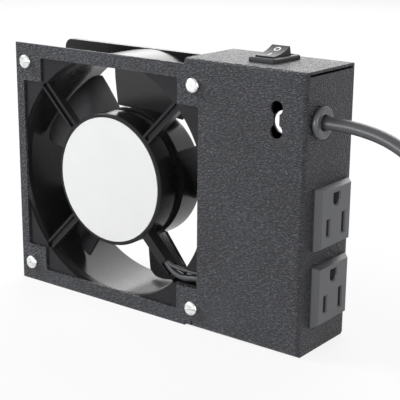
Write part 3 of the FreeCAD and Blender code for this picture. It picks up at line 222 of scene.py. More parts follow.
class Graph(Tree):
    """The node tree of one material, with its Principled shader."""

    def __init__(self, title: str) -> None:
        """Makes a material that has only its shader, its output and its coordinates.

        Args:
            title: The material's name.
        """
        self.material = bpy.data.materials.new(title)
        self.material.use_nodes = True
        super().__init__(self.material.node_tree)
        self.shader = self.node("ShaderNodeBsdfPrincipled")
        self.output = self.node("ShaderNodeOutputMaterial", {}, {"Surface": self.shader.outputs[0]})
        self.millimetres = self.mapped((PER_METRE, PER_METRE, PER_METRE))

    def mapped(self, scale: Point) -> Socket:
        """Gives the object's own coordinates, scaled along each axis."""
        place = self.node("ShaderNodeTexCoord").outputs["Object"]
        return self.node("ShaderNodeMapping", {}, {"Vector": place, "Scale": scale}).outputs[0]

    def vector(self, operation: str, first: object, second: object) -> Socket:
        """Adds one Vector Math node."""
        return self.node("ShaderNodeVectorMath", {"operation": operation}, {0: first, 1: second}).outputs[0]

    def warped(self, size: float, reach: float, stretch: Point) -> Socket:
        """Gives the coordinates in millimetres, pushed about by a noise and then stretched.

        Args:
            size: The noise's size, in millimetres.
            reach: How far it pushes, in millimetres.
            stretch: How many times longer the pattern is along each axis.

        Returns:
            The coordinates' socket.
        """
        inputs = {"Vector": self.millimetres, "Scale": 1.0 / size, "Detail": 1.0}
        noise = self.node("ShaderNodeTexNoise", {}, inputs).outputs["Color"]
        push = self.vector("SUBTRACT", noise, (MIDDLE, MIDDLE, MIDDLE))
        width = reach / MIDDLE
        moved = self.vector("ADD", self.millimetres, self.vector("MULTIPLY", push, (width, width, width)))
        return self.vector("MULTIPLY", moved, tuple(1.0 / share for share in stretch))

    def noise(self, size: float, layers: float, strength: float = 0.5, at: Socket | None = None) -> Signal:
        """Adds a noise.

        Args:
            size: The size of its largest features, in the coordinates' unit.
            layers: How many finer layers it has.
            strength: How strong the finer layers are.
            at: Its coordinates, in millimetres unless they are given.

        Returns:
            Its value, from 0 to 1.
        """
        place = at or self.millimetres
        inputs = {"Vector": place, "Scale": 1.0 / size, "Detail": layers, "Roughness": strength}
        return Signal(self, self.node("ShaderNodeTexNoise", {}, inputs).outputs["Fac"])

    def cells(self, size: float, at: Socket) -> Signal:
        """Adds a cell pattern, and gives the distance to each cell's middle."""
        cells = self.node("ShaderNodeTexVoronoi", {"feature": "F1"}, {"Vector": at, "Scale": 1.0 / size})
        return Signal(self, cells.outputs["Distance"])

    def blend(self, factor: Term, low: Colour, high: Colour) -> Socket:
        """Mixes two colours: a factor of 0 gives low, and 1 gives high."""
        mixed = self.node("ShaderNodeMix", {"data_type": "RGBA"}, dict(zip(MIX_INPUTS, (factor, low, high))))
        return mixed.outputs[MIX_RESULT]

    def relief(self, height: Signal, depth: float) -> Socket:
        """Adds a Bump node for a height from 0 to 1, where 1 stands for a depth in millimetres."""
        inputs = {"Height": height, "Distance": depth / PER_METRE, "Strength": 1.0}
        return self.node("ShaderNodeBump", {}, inputs).outputs[0]

    def surface(self, **values: object) -> None:
        """Feeds the Principled shader's sockets, which are named with _ for each space."""
        for name, value in values.items():
            self.feed(self.shader.inputs[name.replace("_", " ")], value)


# ---------------------------------------------------------------------------
# Finishes
# ---------------------------------------------------------------------------


@dataclass(frozen=True)
class Finish:
    """A surface finish, named for the material slot that it dresses."""

    name: str

    @property
    def title(self) -> str:
        """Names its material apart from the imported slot's own."""
        return f"{self.name}_finish"

    def dress(self, graph: Graph) -> None:
        """Builds the finish's nodes in an empty graph."""
        raise NotImplementedError

    def material(self) -> bpy.types.Material:
        """Gives the material, which is made at its first use.

        Returns:
            The material.
        """
        known = bpy.data.materials.get(self.title)
        if known is not None:
            return known
        graph = Graph(self.title)
        self.dress(graph)
        return graph.material


@dataclass(frozen=True)
class WrinkleCoat(Finish):
    """Powder coat that dried into fine leathery wrinkles, which run along the panel, with painted shade in
    their creases.

    Attributes:
        crest: The colour of the wrinkles' tops.
        crease_shade: The colour between them, darkened as painted shade in the creases.
        grain: The size of one wrinkle, in millimetres.
        stretch: How many times longer a wrinkle is along each axis.
        drift: The size and the reach of the waves that the wrinkles follow, in millimetres.
        pebble: A wrinkle's distances to its rim and to its flat top, in its own size.
        swell_share: How much larger the swells that join wrinkles are.
        swell: The span of the swells that shows.
        swell_weight: The swells' part in the height, with wrinkles as the rest.
        patch: The size of the slow changes of tone, in millimetres.
        patch_tint: How far they shift the colour.
        patch_dull: How far they shift the roughness.
        crest_tint: How far a crest shifts the colour.
        rough: The roughness between the wrinkles.
        polish: How much smoother a crest is.
        specular: The strength of its reflections.
        dust: The size of the finest grain, in millimetres.
        dust_weight: Its part in the relief.
        depth: The height of a wrinkle, in millimetres.
    """

    crest: Colour = (0.078, 0.080, 0.094)
    # Painted shade: the colour between the wrinkles is darkened for the shade that falls in the creases.
    crease_shade: Colour = (0.007, 0.007, 0.009)
    grain: float = 0.75
    stretch: Point = (2.5, 1.5, 1.0)
    drift: Band = (2.0, 0.55)
    pebble: Band = (0.72, 0.12)
    swell_share: float = 1.3
    swell: Band = (0.34, 0.66)
    swell_weight: float = 0.15
    patch: float = 30.0
    patch_tint: float = 0.4
    patch_dull: float = 0.08
    crest_tint: float = 0.85
    rough: float = 0.50
    polish: float = 0.14
    specular: float = 0.4
    dust: float = 0.3
    dust_weight: float = 0.12
    depth: float = 1.0

    def dress(self, graph: Graph) -> None:
        """Builds long rounded pebbles with narrow creases, which are painted darker as shade, over a slow
        change of tone.

        Args:
            graph: The empty graph to build in.
        """
        at = graph.warped(*self.drift, self.stretch)
        pebbles = graph.cells(self.grain, at).band(self.pebble)
        swells = graph.noise(self.grain * self.swell_share, 1.0, at=at).band(self.swell)
        crest = pebbles * (1.0 - self.swell_weight) + swells * self.swell_weight
        patch = graph.noise(self.patch, 2.0) - MIDDLE
        dust = graph.noise(self.dust, 1.0)
        tone = crest * self.crest_tint + patch * self.patch_tint
        graph.surface(
            # The base colour blends from the painted crease shade up to the crest colour.
            Base_Color=graph.blend(tone, self.crease_shade, self.crest),
            Roughness=self.rough - crest * self.polish + patch * self.patch_dull,
            Specular_IOR_Level=self.specular,
            Normal=graph.relief(crest * (1.0 - self.dust_weight) + dust * self.dust_weight, self.depth),
        )


@dataclass(frozen=True)
class Grain:
    """One layer of unevenness in a finish.

    Attributes:
        size: The size of its largest features, in millimetres.
        layers: How many finer layers it has.
        strength: How strong the finer layers are.
        tint: How far it shifts the colour.
        dull: How far it raises the roughness.
        lift: Its part in the relief.
        span: The span of its values that shows, or None for all of them.
        waves: Its waves in a metre along each axis, in place of its size.
    """

    size: float = 1.0
    layers: float = 2.0
    strength: float = 0.5
    tint: float = 0.0
    dull: float = 0.0
    lift: float = 0.0
    span: Band | None = None
    waves: Point | None = None

    def signal(self, graph: Graph) -> Signal:
        """Adds the layer's pattern.

        Args:
            graph: The graph to build in.

        Returns:
            Its value, from 0 to 1.
        """
        at = graph.mapped(self.waves) if self.waves else None
        pattern = graph.noise(self.size, self.layers, self.strength, at)
        return pattern.band(self.span) if self.span else pattern


@dataclass(frozen=True)
class Layered(Finish):
    """A finish whose colour, sheen and relief follow a few layers of grain.

    Attributes:
        colour: Its colour.
        low: The share of the colour where the grain is lowest.
        high: The share of the colour where the grain is highest.
        rough: Its middling roughness.
        specular: The strength of its reflections.
        metallic: 1 for a bare metal.
        depth: The depth of its relief, in millimetres.
    """

    colour: Colour = (0.02, 0.02, 0.022)
    low: float = 1.0
    high: float = 1.0
    rough: float = 0.4
    specular: float = 0.5
    metallic: float = 0.0
    depth: float = 0.015

    def grains(self) -> tuple[Grain, ...]:
        """Lists its layers."""
        raise NotImplementedError

    def ends(self) -> tuple[Colour, Colour]:
        """Gives the two colours that its layers blend."""
        return toned(self.colour, self.low), toned(self.colour, self.high)

    def dress(self, graph: Graph) -> None:
        """Adds up what each layer does to the colour, the roughness and the relief.

        Args:
            graph: The empty graph to build in.
        """
        layers = [(grain, grain.signal(graph)) for grain in self.grains()]

        def total(effect: str) -> Signal:
            """Adds up one effect of the layers that have it."""
            parts = [pattern * getattr(grain, effect) for grain, pattern in layers if getattr(grain, effect)]
            return sum(parts[1:], parts[0])

        middle = sum(grain.dull * MIDDLE for grain, _ in layers if grain.span is None)
        graph.surface(
            Base_Color=graph.blend(total("tint"), *self.ends()),
            Metallic=self.metallic,
            Roughness=total("dull") + (self.rough - middle),
            Specular_IOR_Level=self.specular,
            Normal=graph.relief(total("lift"), self.depth),
        )


@dataclass(frozen=True)
class GlossPaint(Layered):
    """Black gloss paint on a die casting, with a faint orange peel and a little dust."""

    colour: Colour = (0.012, 0.012, 0.013)
    high: float = 2.2
    rough: float = 0.26
    specular: float = 0.17
    depth: float = 0.05

    def grains(self) -> tuple[Grain, ...]:
        """Lists a slow wave, the peel and the dust.

        Returns:
            The layers.
        """
        return (
            Grain(size=14.0, tint=0.3, dull=0.12, lift=0.6),
            Grain(size=1.6, lift=0.4),
            Grain(size=0.5, layers=3.0, strength=0.7, tint=0.6, dull=0.15, span=(0.62, 0.78)),
        )


@dataclass(frozen=True)
class Moulding(Layered):
    """Moulded plastic with a spark-eroded grain.

    Attributes:
        grain: The grain's size, in millimetres.
    """

    high: float = 1.45
    grain: float = 0.30

    def grains(self) -> tuple[Grain, ...]:
        """Lists the grain and the faint flow marks.

        Returns:
            The layers.
        """
        return (
            Grain(size=self.grain, strength=0.6, tint=0.45, dull=0.1, lift=1.0),
            Grain(size=9.0, layers=3.0, tint=0.4, dull=0.14),
        )


@dataclass(frozen=True)
class Plating(Layered):
    """Bare or plated metal with fine scratches and a cloudy bloom.

    Attributes:
        tint: The bloom's colour.
        scratch: The scratches' waves in a metre along each axis.
    """

    colour: Colour = (0.80, 0.81, 0.82)
    tint: Colour = (0.60, 0.60, 0.58)
    rough: float = 0.26
    metallic: float = 1.0
    depth: float = 0.008
    scratch: Point = (1200.0, 120.0, 1200.0)

    def grains(self) -> tuple[Grain, ...]:
        """Lists the bloom's colour, its dullness and the scratches.

        Returns:
            The layers.
        """
        return (
            Grain(size=2.2, layers=3.0, tint=1.0, span=(0.35, 0.7)),
            Grain(size=2.2, layers=3.0, dull=0.12),
            Grain(layers=3.0, strength=0.6, dull=0.08, lift=1.0, waves=self.scratch),
        )

    def ends(self) -> tuple[Colour, Colour]:
        """Gives the metal's colour and the bloom's."""
        return self.colour, self.tint


@dataclass(frozen=True)
class Stock(Layered):
    """A bare self-adhesive label with a satin face and faint fibres."""

    colour: Colour = (0.64, 0.64, 0.625)
    low: float = 0.93
    rough: float = 0.43
    depth: float = 0.03

    def grains(self) -> tuple[Grain, ...]:
        """Lists the fibres and a slow wave.

        Returns:
            The layers.
        """
        return (
            Grain(size=0.6, layers=4.0, strength=0.65, tint=0.5, lift=0.3),
            Grain(size=12.0, tint=0.5, dull=0.1, lift=0.7),
        )


@dataclass(frozen=True)
class Sheath(Layered):
    """A soft black skin of cord or rubber, with a fine bloom."""

    high: float = 1.6
    depth: float = 0.02

    def grains(self) -> tuple[Grain, ...]:
        """Lists the bloom and the fine skin.

        Returns:
            The layers.
        """
        return (
            Grain(size=5.0, layers=3.0, tint=0.6, dull=0.16, lift=0.4),
            Grain(size=0.25, tint=0.3, lift=0.6),
        )


@dataclass(frozen=True)
class Ink(Layered):
    """White pad-printed ink, a little thin where the grain of the plastic shows through."""

    colour: Colour = (0.84, 0.84, 0.82)
    low: float = 0.8
    rough: float = 0.55
    depth: float = 0.01

    @property
    def title(self) -> str:
        """Names its material apart from that of the plastic in the same slot."""
        return f"{self.name}_ink_finish"

    def grains(self) -> tuple[Grain, ...]:
        """Lists the ink's density and its sheen.

        Returns:
            The layers.
        """
        return (
            Grain(size=0.3, strength=0.6, tint=1.0, span=(0.3, 0.6)),
            Grain(size=0.3, strength=0.6, dull=0.2, lift=1.0),
        )


POWDER = WrinkleCoat("powder_coat")
COVER = WrinkleCoat("cover_paint", grain=1.0, depth=0.14)
FAN_PAINT = GlossPaint("fan_paint")
ZINC = Plating("zinc")
STEEL = Plating("bearing_steel", colour=(0.62, 0.62, 0.63), tint=(0.5, 0.5, 0.5), rough=0.32)
LAMINATION = Plating(
    "lamination",
    colour=(0.28, 0.28, 0.30),
    tint=(0.2, 0.19, 0.19),
    rough=0.47,
    scratch=(150.0, 2600.0, 150.0),
)
COPPER = Plating(
    "winding",
    colour=(0.62, 0.27, 0.12),
    tint=(0.42, 0.15, 0.06),
    rough=0.37,
    scratch=(200.0, 3000.0, 200.0),
)
BRASS = Plating("contact_brass", colour=(0.76, 0.60, 0.28), tint=(0.62, 0.46, 0.20), rough=0.30)
IMPELLER = Moulding("impeller_plastic", colour=(0.021, 0.021, 0.022), rough=0.25, depth=0.006)
SWITCH = Moulding("switch_plastic", colour=(0.016, 0.016, 0.017), rough=0.50, specular=0.30)
OUTLET = Moulding("outlet_plastic", colour=(0.062, 0.064, 0.070), rough=0.42, grain=0.35)
LABEL = Stock("label_stock")
INK = Ink("switch_plastic")
RUBBER = Sheath("grommet_rubber", colour=(0.056, 0.058, 0.062), rough=0.32)
CORD = Sheath("cord_sheath", colour=(0.042, 0.042, 0.045), rough=0.36)
SLEEVE = Sheath("sleeve", colour=(0.018, 0.018, 0.019), rough=0.4)
FINISHES: dict[str, Finish] = {
    finish.name: finish
    for finish in (
        POWDER, COVER, FAN_PAINT, ZINC, STEEL, LAMINATION, COPPER, BRASS,
        IMPELLER, SWITCH, OUTLET, LABEL, RUBBER, CORD, SLEEVE,
    )
}


# ---------------------------------------------------------------------------
# Making pieces
# ---------------------------------------------------------------------------


class Body(Enum):
    """The bodies that pieces ride on."""

    PANEL = "panel"
    ROCKER = "rocker"


def deselect() -> None:
    """Leaves edit mode and deselects everything, so that an operator acts only on what follows."""
    if bpy.context.object is not None and bpy.context.object.mode != "OBJECT":
        bpy.ops.object.mode_set(mode="OBJECT")
    bpy.ops.object.select_all(action="DESELECT")


def pick(piece: bpy.types.Object) -> None:
    """Selects one piece alone.

    Args:
        piece: The piece.
    """
    deselect()
    piece.select_set(True)
    bpy.context.view_layer.objects.active = piece


def edit(piece: bpy.types.Object, mode: str, keep: Callable[[Any], bool]) -> None:
    """Opens a piece in edit mode with only some of its vertices, edges or faces selected.

    Args:
        piece: The piece.
        mode: VERT, EDGE or FACE.
        keep: Says which of them are selected.
    """
    pick(piece)
    bpy.ops.object.mode_set(mode="EDIT")
    bpy.ops.mesh.select_mode(type=mode)
    bpy.ops.mesh.select_all(action="DESELECT")
    mesh = bmesh.from_edit_mesh(piece.data)
    for item in {"VERT": mesh.verts, "EDGE": mesh.edges, "FACE": mesh.faces}[mode]:
        item.select_set(keep(item))
    bmesh.update_edit_mesh(piece.data)


def close(piece: bpy.types.Object) -> None:
    """Leaves edit mode and selects the piece that was edited."""
    bpy.ops.object.mode_set(mode="OBJECT")
    pick(piece)


def modify(piece: bpy.types.Object, kind: str, **settings: object) -> None:
    """Adds a modifier and applies it.

    Args:
        piece: The piece.
        kind: The modifier's type.
        settings: Its properties.
    """
    pick(piece)
    modifier = piece.modifiers.new(kind.lower(), kind)
    for name, value in settings.items():
        setattr(modifier, name, value)
    bpy.ops.object.modifier_apply(modifier=modifier.name)


def place_in_mesh() -> None:
    """Puts the selected piece's place, turn and scale into its mesh."""
    bpy.ops.object.transform_apply(location=True, rotation=True, scale=True)


def block(size: Point, middle: Point) -> bpy.types.Object:
    """Adds a block.

    Args:
        size: Its length along each axis.
        middle: Its middle.

    Returns:
        The block, at the origin with its place in its mesh.
    """
    deselect()
    bpy.ops.mesh.primitive_cube_add(size=1.0, location=middle)
    made = bpy.context.object
    made.scale = size
    place_in_mesh()
    return made


def tube(name: str, route: Sequence[Point], radius: float, order: int, steps: int) -> bpy.types.Object:
    """Draws a round tube along a smooth line, as a curve.

    Args:
        name: Its name.
        route: The line's control points.
        radius: Its radius.
        order: The line's order: higher is smoother, and farther from the points.
        steps: How many straight steps stand for the line between two points.

    Returns:
        The tube.
    """
    data = bpy.data.curves.new(name, "CURVE")
    data.dimensions = "3D"
    data.resolution_u = steps
    data.bevel_depth = radius
    data.bevel_resolution = 4
    data.use_fill_caps = True
    line = data.splines.new("NURBS")
    line.points.add(len(route) - 1)
    for control, point in zip(line.points, route):
        control.co = (*point, 1.0)
    line.order_u = order
    line.use_endpoint_u = True
    made = bpy.data.objects.new(name, data)
    bpy.context.scene.collection.objects.link(made)
    return made


def finish_piece(piece: bpy.types.Object, smooth: float = 35.0) -> None:
    """Puts a piece's place into its mesh, turns its faces outwards and smooths it.

    Args:
        piece: The piece.
        smooth: The angle above which an edge stays sharp, in degrees.
    """
    pick(piece)
    place_in_mesh()
    edit(piece, "FACE", lambda face: True)
    bpy.ops.mesh.remove_doubles(threshold=NEAR)
    bpy.ops.mesh.normals_make_consistent(inside=False)
    close(piece)
    bpy.ops.object.shade_smooth_by_angle(angle=math.radians(smooth))


def settle(piece: bpy.types.Object, name: str, body: Body, finish: Finish) -> None:
    """Names a finished piece, dresses it and makes it ride.

    Args:
        piece: The piece.
        name: Its name.
        body: The body it moves with.
        finish: What it is made of.
    """
    piece.name = name
    piece.data.materials.clear()
    piece.data.materials.append(finish.material())
    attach(piece, body.value)


# ---------------------------------------------------------------------------
# The mains cord
# ---------------------------------------------------------------------------


@dataclass
class MainsCord:
    """The mains cord: out of the grommet, down to its hank on the floor, and on to its plug.

    Attributes:
        diameter: Its diameter.
        length: Its length from the grommet to the plug; not used.
        fall: The control points from the grommet to the hank's first turn.
        tail: The control points from the hank's last turn to the plug.
        near_fold: The place of the middle of the folds nearer the panel, along the hank.
        far_fold: The place of the middle of the other folds.
        fold_radius: The radius that the cord keeps in its folds.
        slack: How much farther out the control points of a fold are.
        turns: The number of turns.
        covered: The share of the first run that the fall already covers.
        floor_height: The height of the lowest turn's middle.
        waist: How far the tie draws a run towards the middle line.
        waist_reach: How far along the hank that is felt.
        run_shares: The control points of a run, as shares of its length.
        fold_shares: The control points of a fold, as shares of its length.
        wobble: How far the turns stray along the hank.
        wobble_turn: How fast that changes from one turn to the next.
        wobble_place: How fast it changes along a turn.
    """

    diameter: float = 0.0058
    length: float = 1.8
    fall: tuple[Point, ...] = (
        (0.0736, -0.00815, 0.1042),
        (0.0880, -0.00815, 0.1043),
        (0.1030, -0.00815, 0.1040),
        (0.1180, -0.00815, 0.1008),
        (0.1330, -0.00900, 0.0928),
        (0.1450, -0.01050, 0.0800),
        (0.1560, -0.01280, 0.0650),
        (0.1680, -0.01500, 0.0505),
        (0.1810, -0.01660, 0.0400),
        (0.1960, -0.01640, 0.0345),
    )
    tail: tuple[Point, ...] = (
        (0.2750, -0.01835, 0.00295),
        (0.2895, -0.01705, 0.0037),
        (0.3040, -0.01220, 0.0098),
        (0.3175, -0.01035, 0.0120),
    )
    near_fold: float = 0.1645
    far_fold: float = 0.2638
    fold_radius: float = 0.0174
    slack: float = 1.062
    turns: int = 5
    covered: float = 0.4
    floor_height: float = 0.00295
    waist: float = 0.0045
    waist_reach: float = 0.020
    run_shares: tuple[float, ...] = (0.07, 0.185, 0.31, 0.5, 0.69, 0.815, 0.93)
    fold_shares: tuple[float, ...] = (0.08, 0.29, 0.5, 0.71, 0.92)
    wobble: float = 0.0005
    wobble_turn: float = 2.3
    wobble_place: float = 20.0

    @property
    def run(self) -> float:
        """Gives the length of a run between two folds."""
        return self.far_fold - self.near_fold

    @property
    def fold(self) -> float:
        """Gives the length of the cord in one fold."""
        return math.pi * self.fold_radius

    @property
    def swell(self) -> float:
        """Gives the distance of the control points from the hank's middle line."""
        return self.fold_radius * self.slack

    def pinched(self, x: float, y: float) -> float:
        """Draws a point towards the hank's middle line, as the tie does.

        Args:
            x: The point's place along the hank.
            y: Its place across the hank.

        Returns:
            Its new place across the hank.
        """
        away = (x - (self.near_fold + self.far_fold) / 2.0) / self.waist_reach
        return y - math.copysign(self.waist * math.exp(-(away**2)), y)

    def place(self, along: float) -> tuple[float, float]:
        """Finds a point of the loop that every turn follows.

        Args:
            along: The distance along the loop from the start of its front run.

        Returns:
            The point's x and y, before the tie draws it in.
        """
        run, fold = self.run, self.fold
        if along < run:
            return self.near_fold + along, -self.swell
        if along < run + fold:
            angle = (along - run) / self.fold_radius - QUARTER
            return self.far_fold + self.swell * math.cos(angle), self.swell * math.sin(angle)
        if along < 2.0 * run + fold:
            return self.far_fold - (along - run - fold), self.swell
        angle = (along - 2.0 * run - fold) / self.fold_radius + QUARTER
        return self.near_fold + self.swell * math.cos(angle), self.swell * math.sin(angle)

    def hank(self) -> list[Point]:
        """Works out the turns, which wind downwards between the two folds.

        Returns:
            The points of the turns.
        """
        on_run = [self.run * share for share in self.run_shares]
        on_fold = [self.fold * share for share in self.fold_shares]
        half = self.run + self.fold
        stops = [
            *on_run,
            *(self.run + place for place in on_fold),
            *(half + place for place in on_run),
            *(half + self.run + place for place in on_fold),
        ]
        top = self.floor_height + self.turns * self.diameter
        points = []
        for turn in range(self.turns):
            for stop in stops:
                if turn == 0 and stop < self.run * self.covered:
                    continue
                x, y = self.place(stop)
                height = top - self.diameter * (turn + stop / (2.0 * half))
                stray = self.wobble * math.sin(self.wobble_turn * turn + self.wobble_place * stop)
                points.append((x + stray, self.pinched(x, y), max(height, self.floor_height)))
        for place in on_run:
            x = self.near_fold + place
            points.append((x, self.pinched(x, -self.swell), self.floor_height))
        return points

    def build(self) -> bpy.types.Object:
        """Makes the cord as one smooth line, which stands for its solids.

        Returns:
            The cord.
        """
        route = [*self.fall, *self.hank(), *self.tail]
        cord = tube("mains_cord", route, self.diameter / 2.0, order=3, steps=8)
        settle(cord, "mains_cord", Body.PANEL, CORD)
        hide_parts("power_cord", "plug_cord", "cord_coil")
        return cord


@dataclass
class HankTie:
    """The strap that holds the hank together at its waist, with the end that laps over it.

    Attributes:
        x: Its place along the hank.
        width: Its width.
        half: Half its length across the hank.
        low: The height of its underside.
        high: The height of its top.
        thickness: Its thickness.
        corner: The radius of its corners.
        edge: The radius of its edges.
        end_width: The lapped end's width, as a share of the strap's.
        end_length: Its length, as a share of half.
        end_place: Its middle's place across the hank, as a share of half.
        end_thickness: Its thickness, as a share of the strap's.
        end_gap: Its height above the strap, as a share of the strap's thickness.
        curl_start: Where it starts to curl up, as a share of half.
        curl_reach: How far from the middle its curl is measured, as a share of half.
        curl: How far it would rise over that reach.
    """

    x: float = 0.2145
    width: float = 0.011
    half: float = 0.0169
    low: float = 0.00005
    high: float = 0.0350
    thickness: float = 0.0009
    corner: float = 0.0045
    edge: float = 0.0002
    end_width: float = 0.9
    end_length: float = 1.1
    end_place: float = 0.2
    end_thickness: float = 0.8
    end_gap: float = 0.35
    curl_start: float = 0.45
    curl_reach: float = 0.75
    curl: float = 0.0016

    def done(self, piece: bpy.types.Object, name: str) -> None:
        """Rounds a piece's edges and settles it.

        Args:
            piece: The piece.
            name: Its name.
        """
        modify(piece, "BEVEL", width=self.edge, segments=2, limit_method="ANGLE")
        finish_piece(piece, smooth=50.0)
        settle(piece, name, Body.PANEL, SLEEVE)

    def strap(self) -> None:
        """Makes the strap: a block without its ends, with rounded corners and a wall."""
        size = (self.width, 2.0 * self.half, self.high - self.low)
        strap = block(size, (self.x, 0.0, (self.low + self.high) / 2.0))
        edit(strap, "FACE", lambda face: abs(face.normal.x) > FACING)
        bpy.ops.mesh.delete(type="FACE")
        edit(strap, "EDGE", lambda edge: abs(edge.verts[0].co.x - edge.verts[1].co.x) > NEAR)
        bpy.ops.mesh.bevel(offset=self.corner, segments=8, affect="EDGES")
        close(strap)
        modify(strap, "SOLIDIFY", thickness=self.thickness, offset=-1.0)
        self.done(strap, "hank_tie")

    def lapped_end(self) -> None:
        """Makes the end, which lies on the strap and curls up a little."""
        deselect()
        middle = (self.x, self.end_place * self.half, self.high + self.thickness * self.end_gap)
        bpy.ops.mesh.primitive_grid_add(x_subdivisions=4, y_subdivisions=10, size=1.0, location=middle)
        end = bpy.context.object
        end.scale = (self.width * self.end_width, self.half * self.end_length, 1.0)
        place_in_mesh()
        for vertex in end.data.vertices:
            past = max(0.0, vertex.co.y - self.half * self.curl_start)
            vertex.co.z += self.curl * (past / (self.half * self.curl_reach)) ** 2
        modify(end, "SOLIDIFY", thickness=self.thickness * self.end_thickness, offset=0.0)
        self.done(end, "hank_tie_end")

    def build(self) -> None:
        """Makes the strap and its end."""
        self.strap()
        self.lapped_end()


@dataclass
class MainsPlug:
    """The moulded body of the mains plug, with its ridged strain relief.

    Attributes:
        start: Where its strain relief starts, along the cord.
        axis_y: Its axis's place.
        axis_z: Its axis's height.
        sides: How many sides stand for its round.
        flat: The distance from its axis past which its sides are flattened.
        flat_share: The share of the round that is left past there.
        low: The height of its underside.
        profile: Its radius at each distance from its start, ridge by ridge and then the grip.
    """

    start: float = 0.31825
    axis_y: float = -0.0103
    axis_z: float = 0.01245
    sides: int = 64
    flat: float = 0.00946
    flat_share: float = 0.45
    low: float = 0.0001
    profile: tuple[tuple[float, float], ...] = (
        (0.0, 0.0036),
        (0.0006, 0.0043),
        (0.0024, 0.0043),
        (0.0028, 0.0037),
        (0.0040, 0.0037),
        (0.0044, 0.0045),
        (0.0062, 0.0046),
        (0.0066, 0.0038),
        (0.0078, 0.0039),
        (0.0082, 0.0048),
        (0.0100, 0.0049),
        (0.0104, 0.0041),
        (0.0116, 0.0042),
        (0.0120, 0.0052),
        (0.0150, 0.0054),
        (0.0180, 0.0064),
        (0.0215, 0.0086),
        (0.0250, 0.0105),
        (0.0280, 0.0118),
        (0.0310, 0.0124),
        (0.0360, 0.0124),
        (0.0366, 0.0121),
        (0.0372, 0.0124),
        (0.0411, 0.0124),
        (0.0417, 0.0122),
        (0.0420, 0.0116),
    )

    def draw(self) -> bpy.types.Object:
        """Extrudes one circle along the profile.

        Returns:
            The round body.
        """
        deselect()
        bpy.ops.mesh.primitive_circle_add(
            vertices=self.sides,
            radius=self.profile[0][1],
            fill_type="NGON",
            location=(self.start, self.axis_y, self.axis_z),
            rotation=(0.0, QUARTER, 0.0),
        )
        plug = bpy.context.object
        place_in_mesh()
        for (before, small), (after, large) in zip(self.profile, self.profile[1:]):
            end = self.start + before
            edit(plug, "FACE", lambda face: abs(face.calc_center_median().x - end) < NEAR)
            bpy.ops.mesh.extrude_region_move(TRANSFORM_OT_translate={"value": (after - before, 0.0, 0.0)})
            grow = large / small
            middle = (self.start + after, self.axis_y, self.axis_z)
            bpy.ops.transform.resize(value=(1.0, grow, grow), center_override=middle)
            close(plug)
        return plug

    def flatten(self, plug: bpy.types.Object) -> None:
        """Flattens the body's sides, and keeps it above the floor.

        Args:
            plug: The round body.
        """
        for vertex in plug.data.vertices:
            aside = vertex.co.y - self.axis_y
            past = abs(aside) - self.flat
            if past > 0.0:
                vertex.co.y = self.axis_y + math.copysign(self.flat + past * self.flat_share, aside)
            vertex.co.z = max(vertex.co.z, self.low)

    def build(self) -> bpy.types.Object:
        """Makes the plug's body, which stands for its solid.

        Returns:
            The plug's body.
        """
        plug = self.draw()
        self.flatten(plug)
        finish_piece(plug, smooth=40.0)
        settle(plug, "mains_plug", Body.PANEL, CORD)
        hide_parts("plug_body")
        return plug


# ---------------------------------------------------------------------------
# The panel
# ---------------------------------------------------------------------------


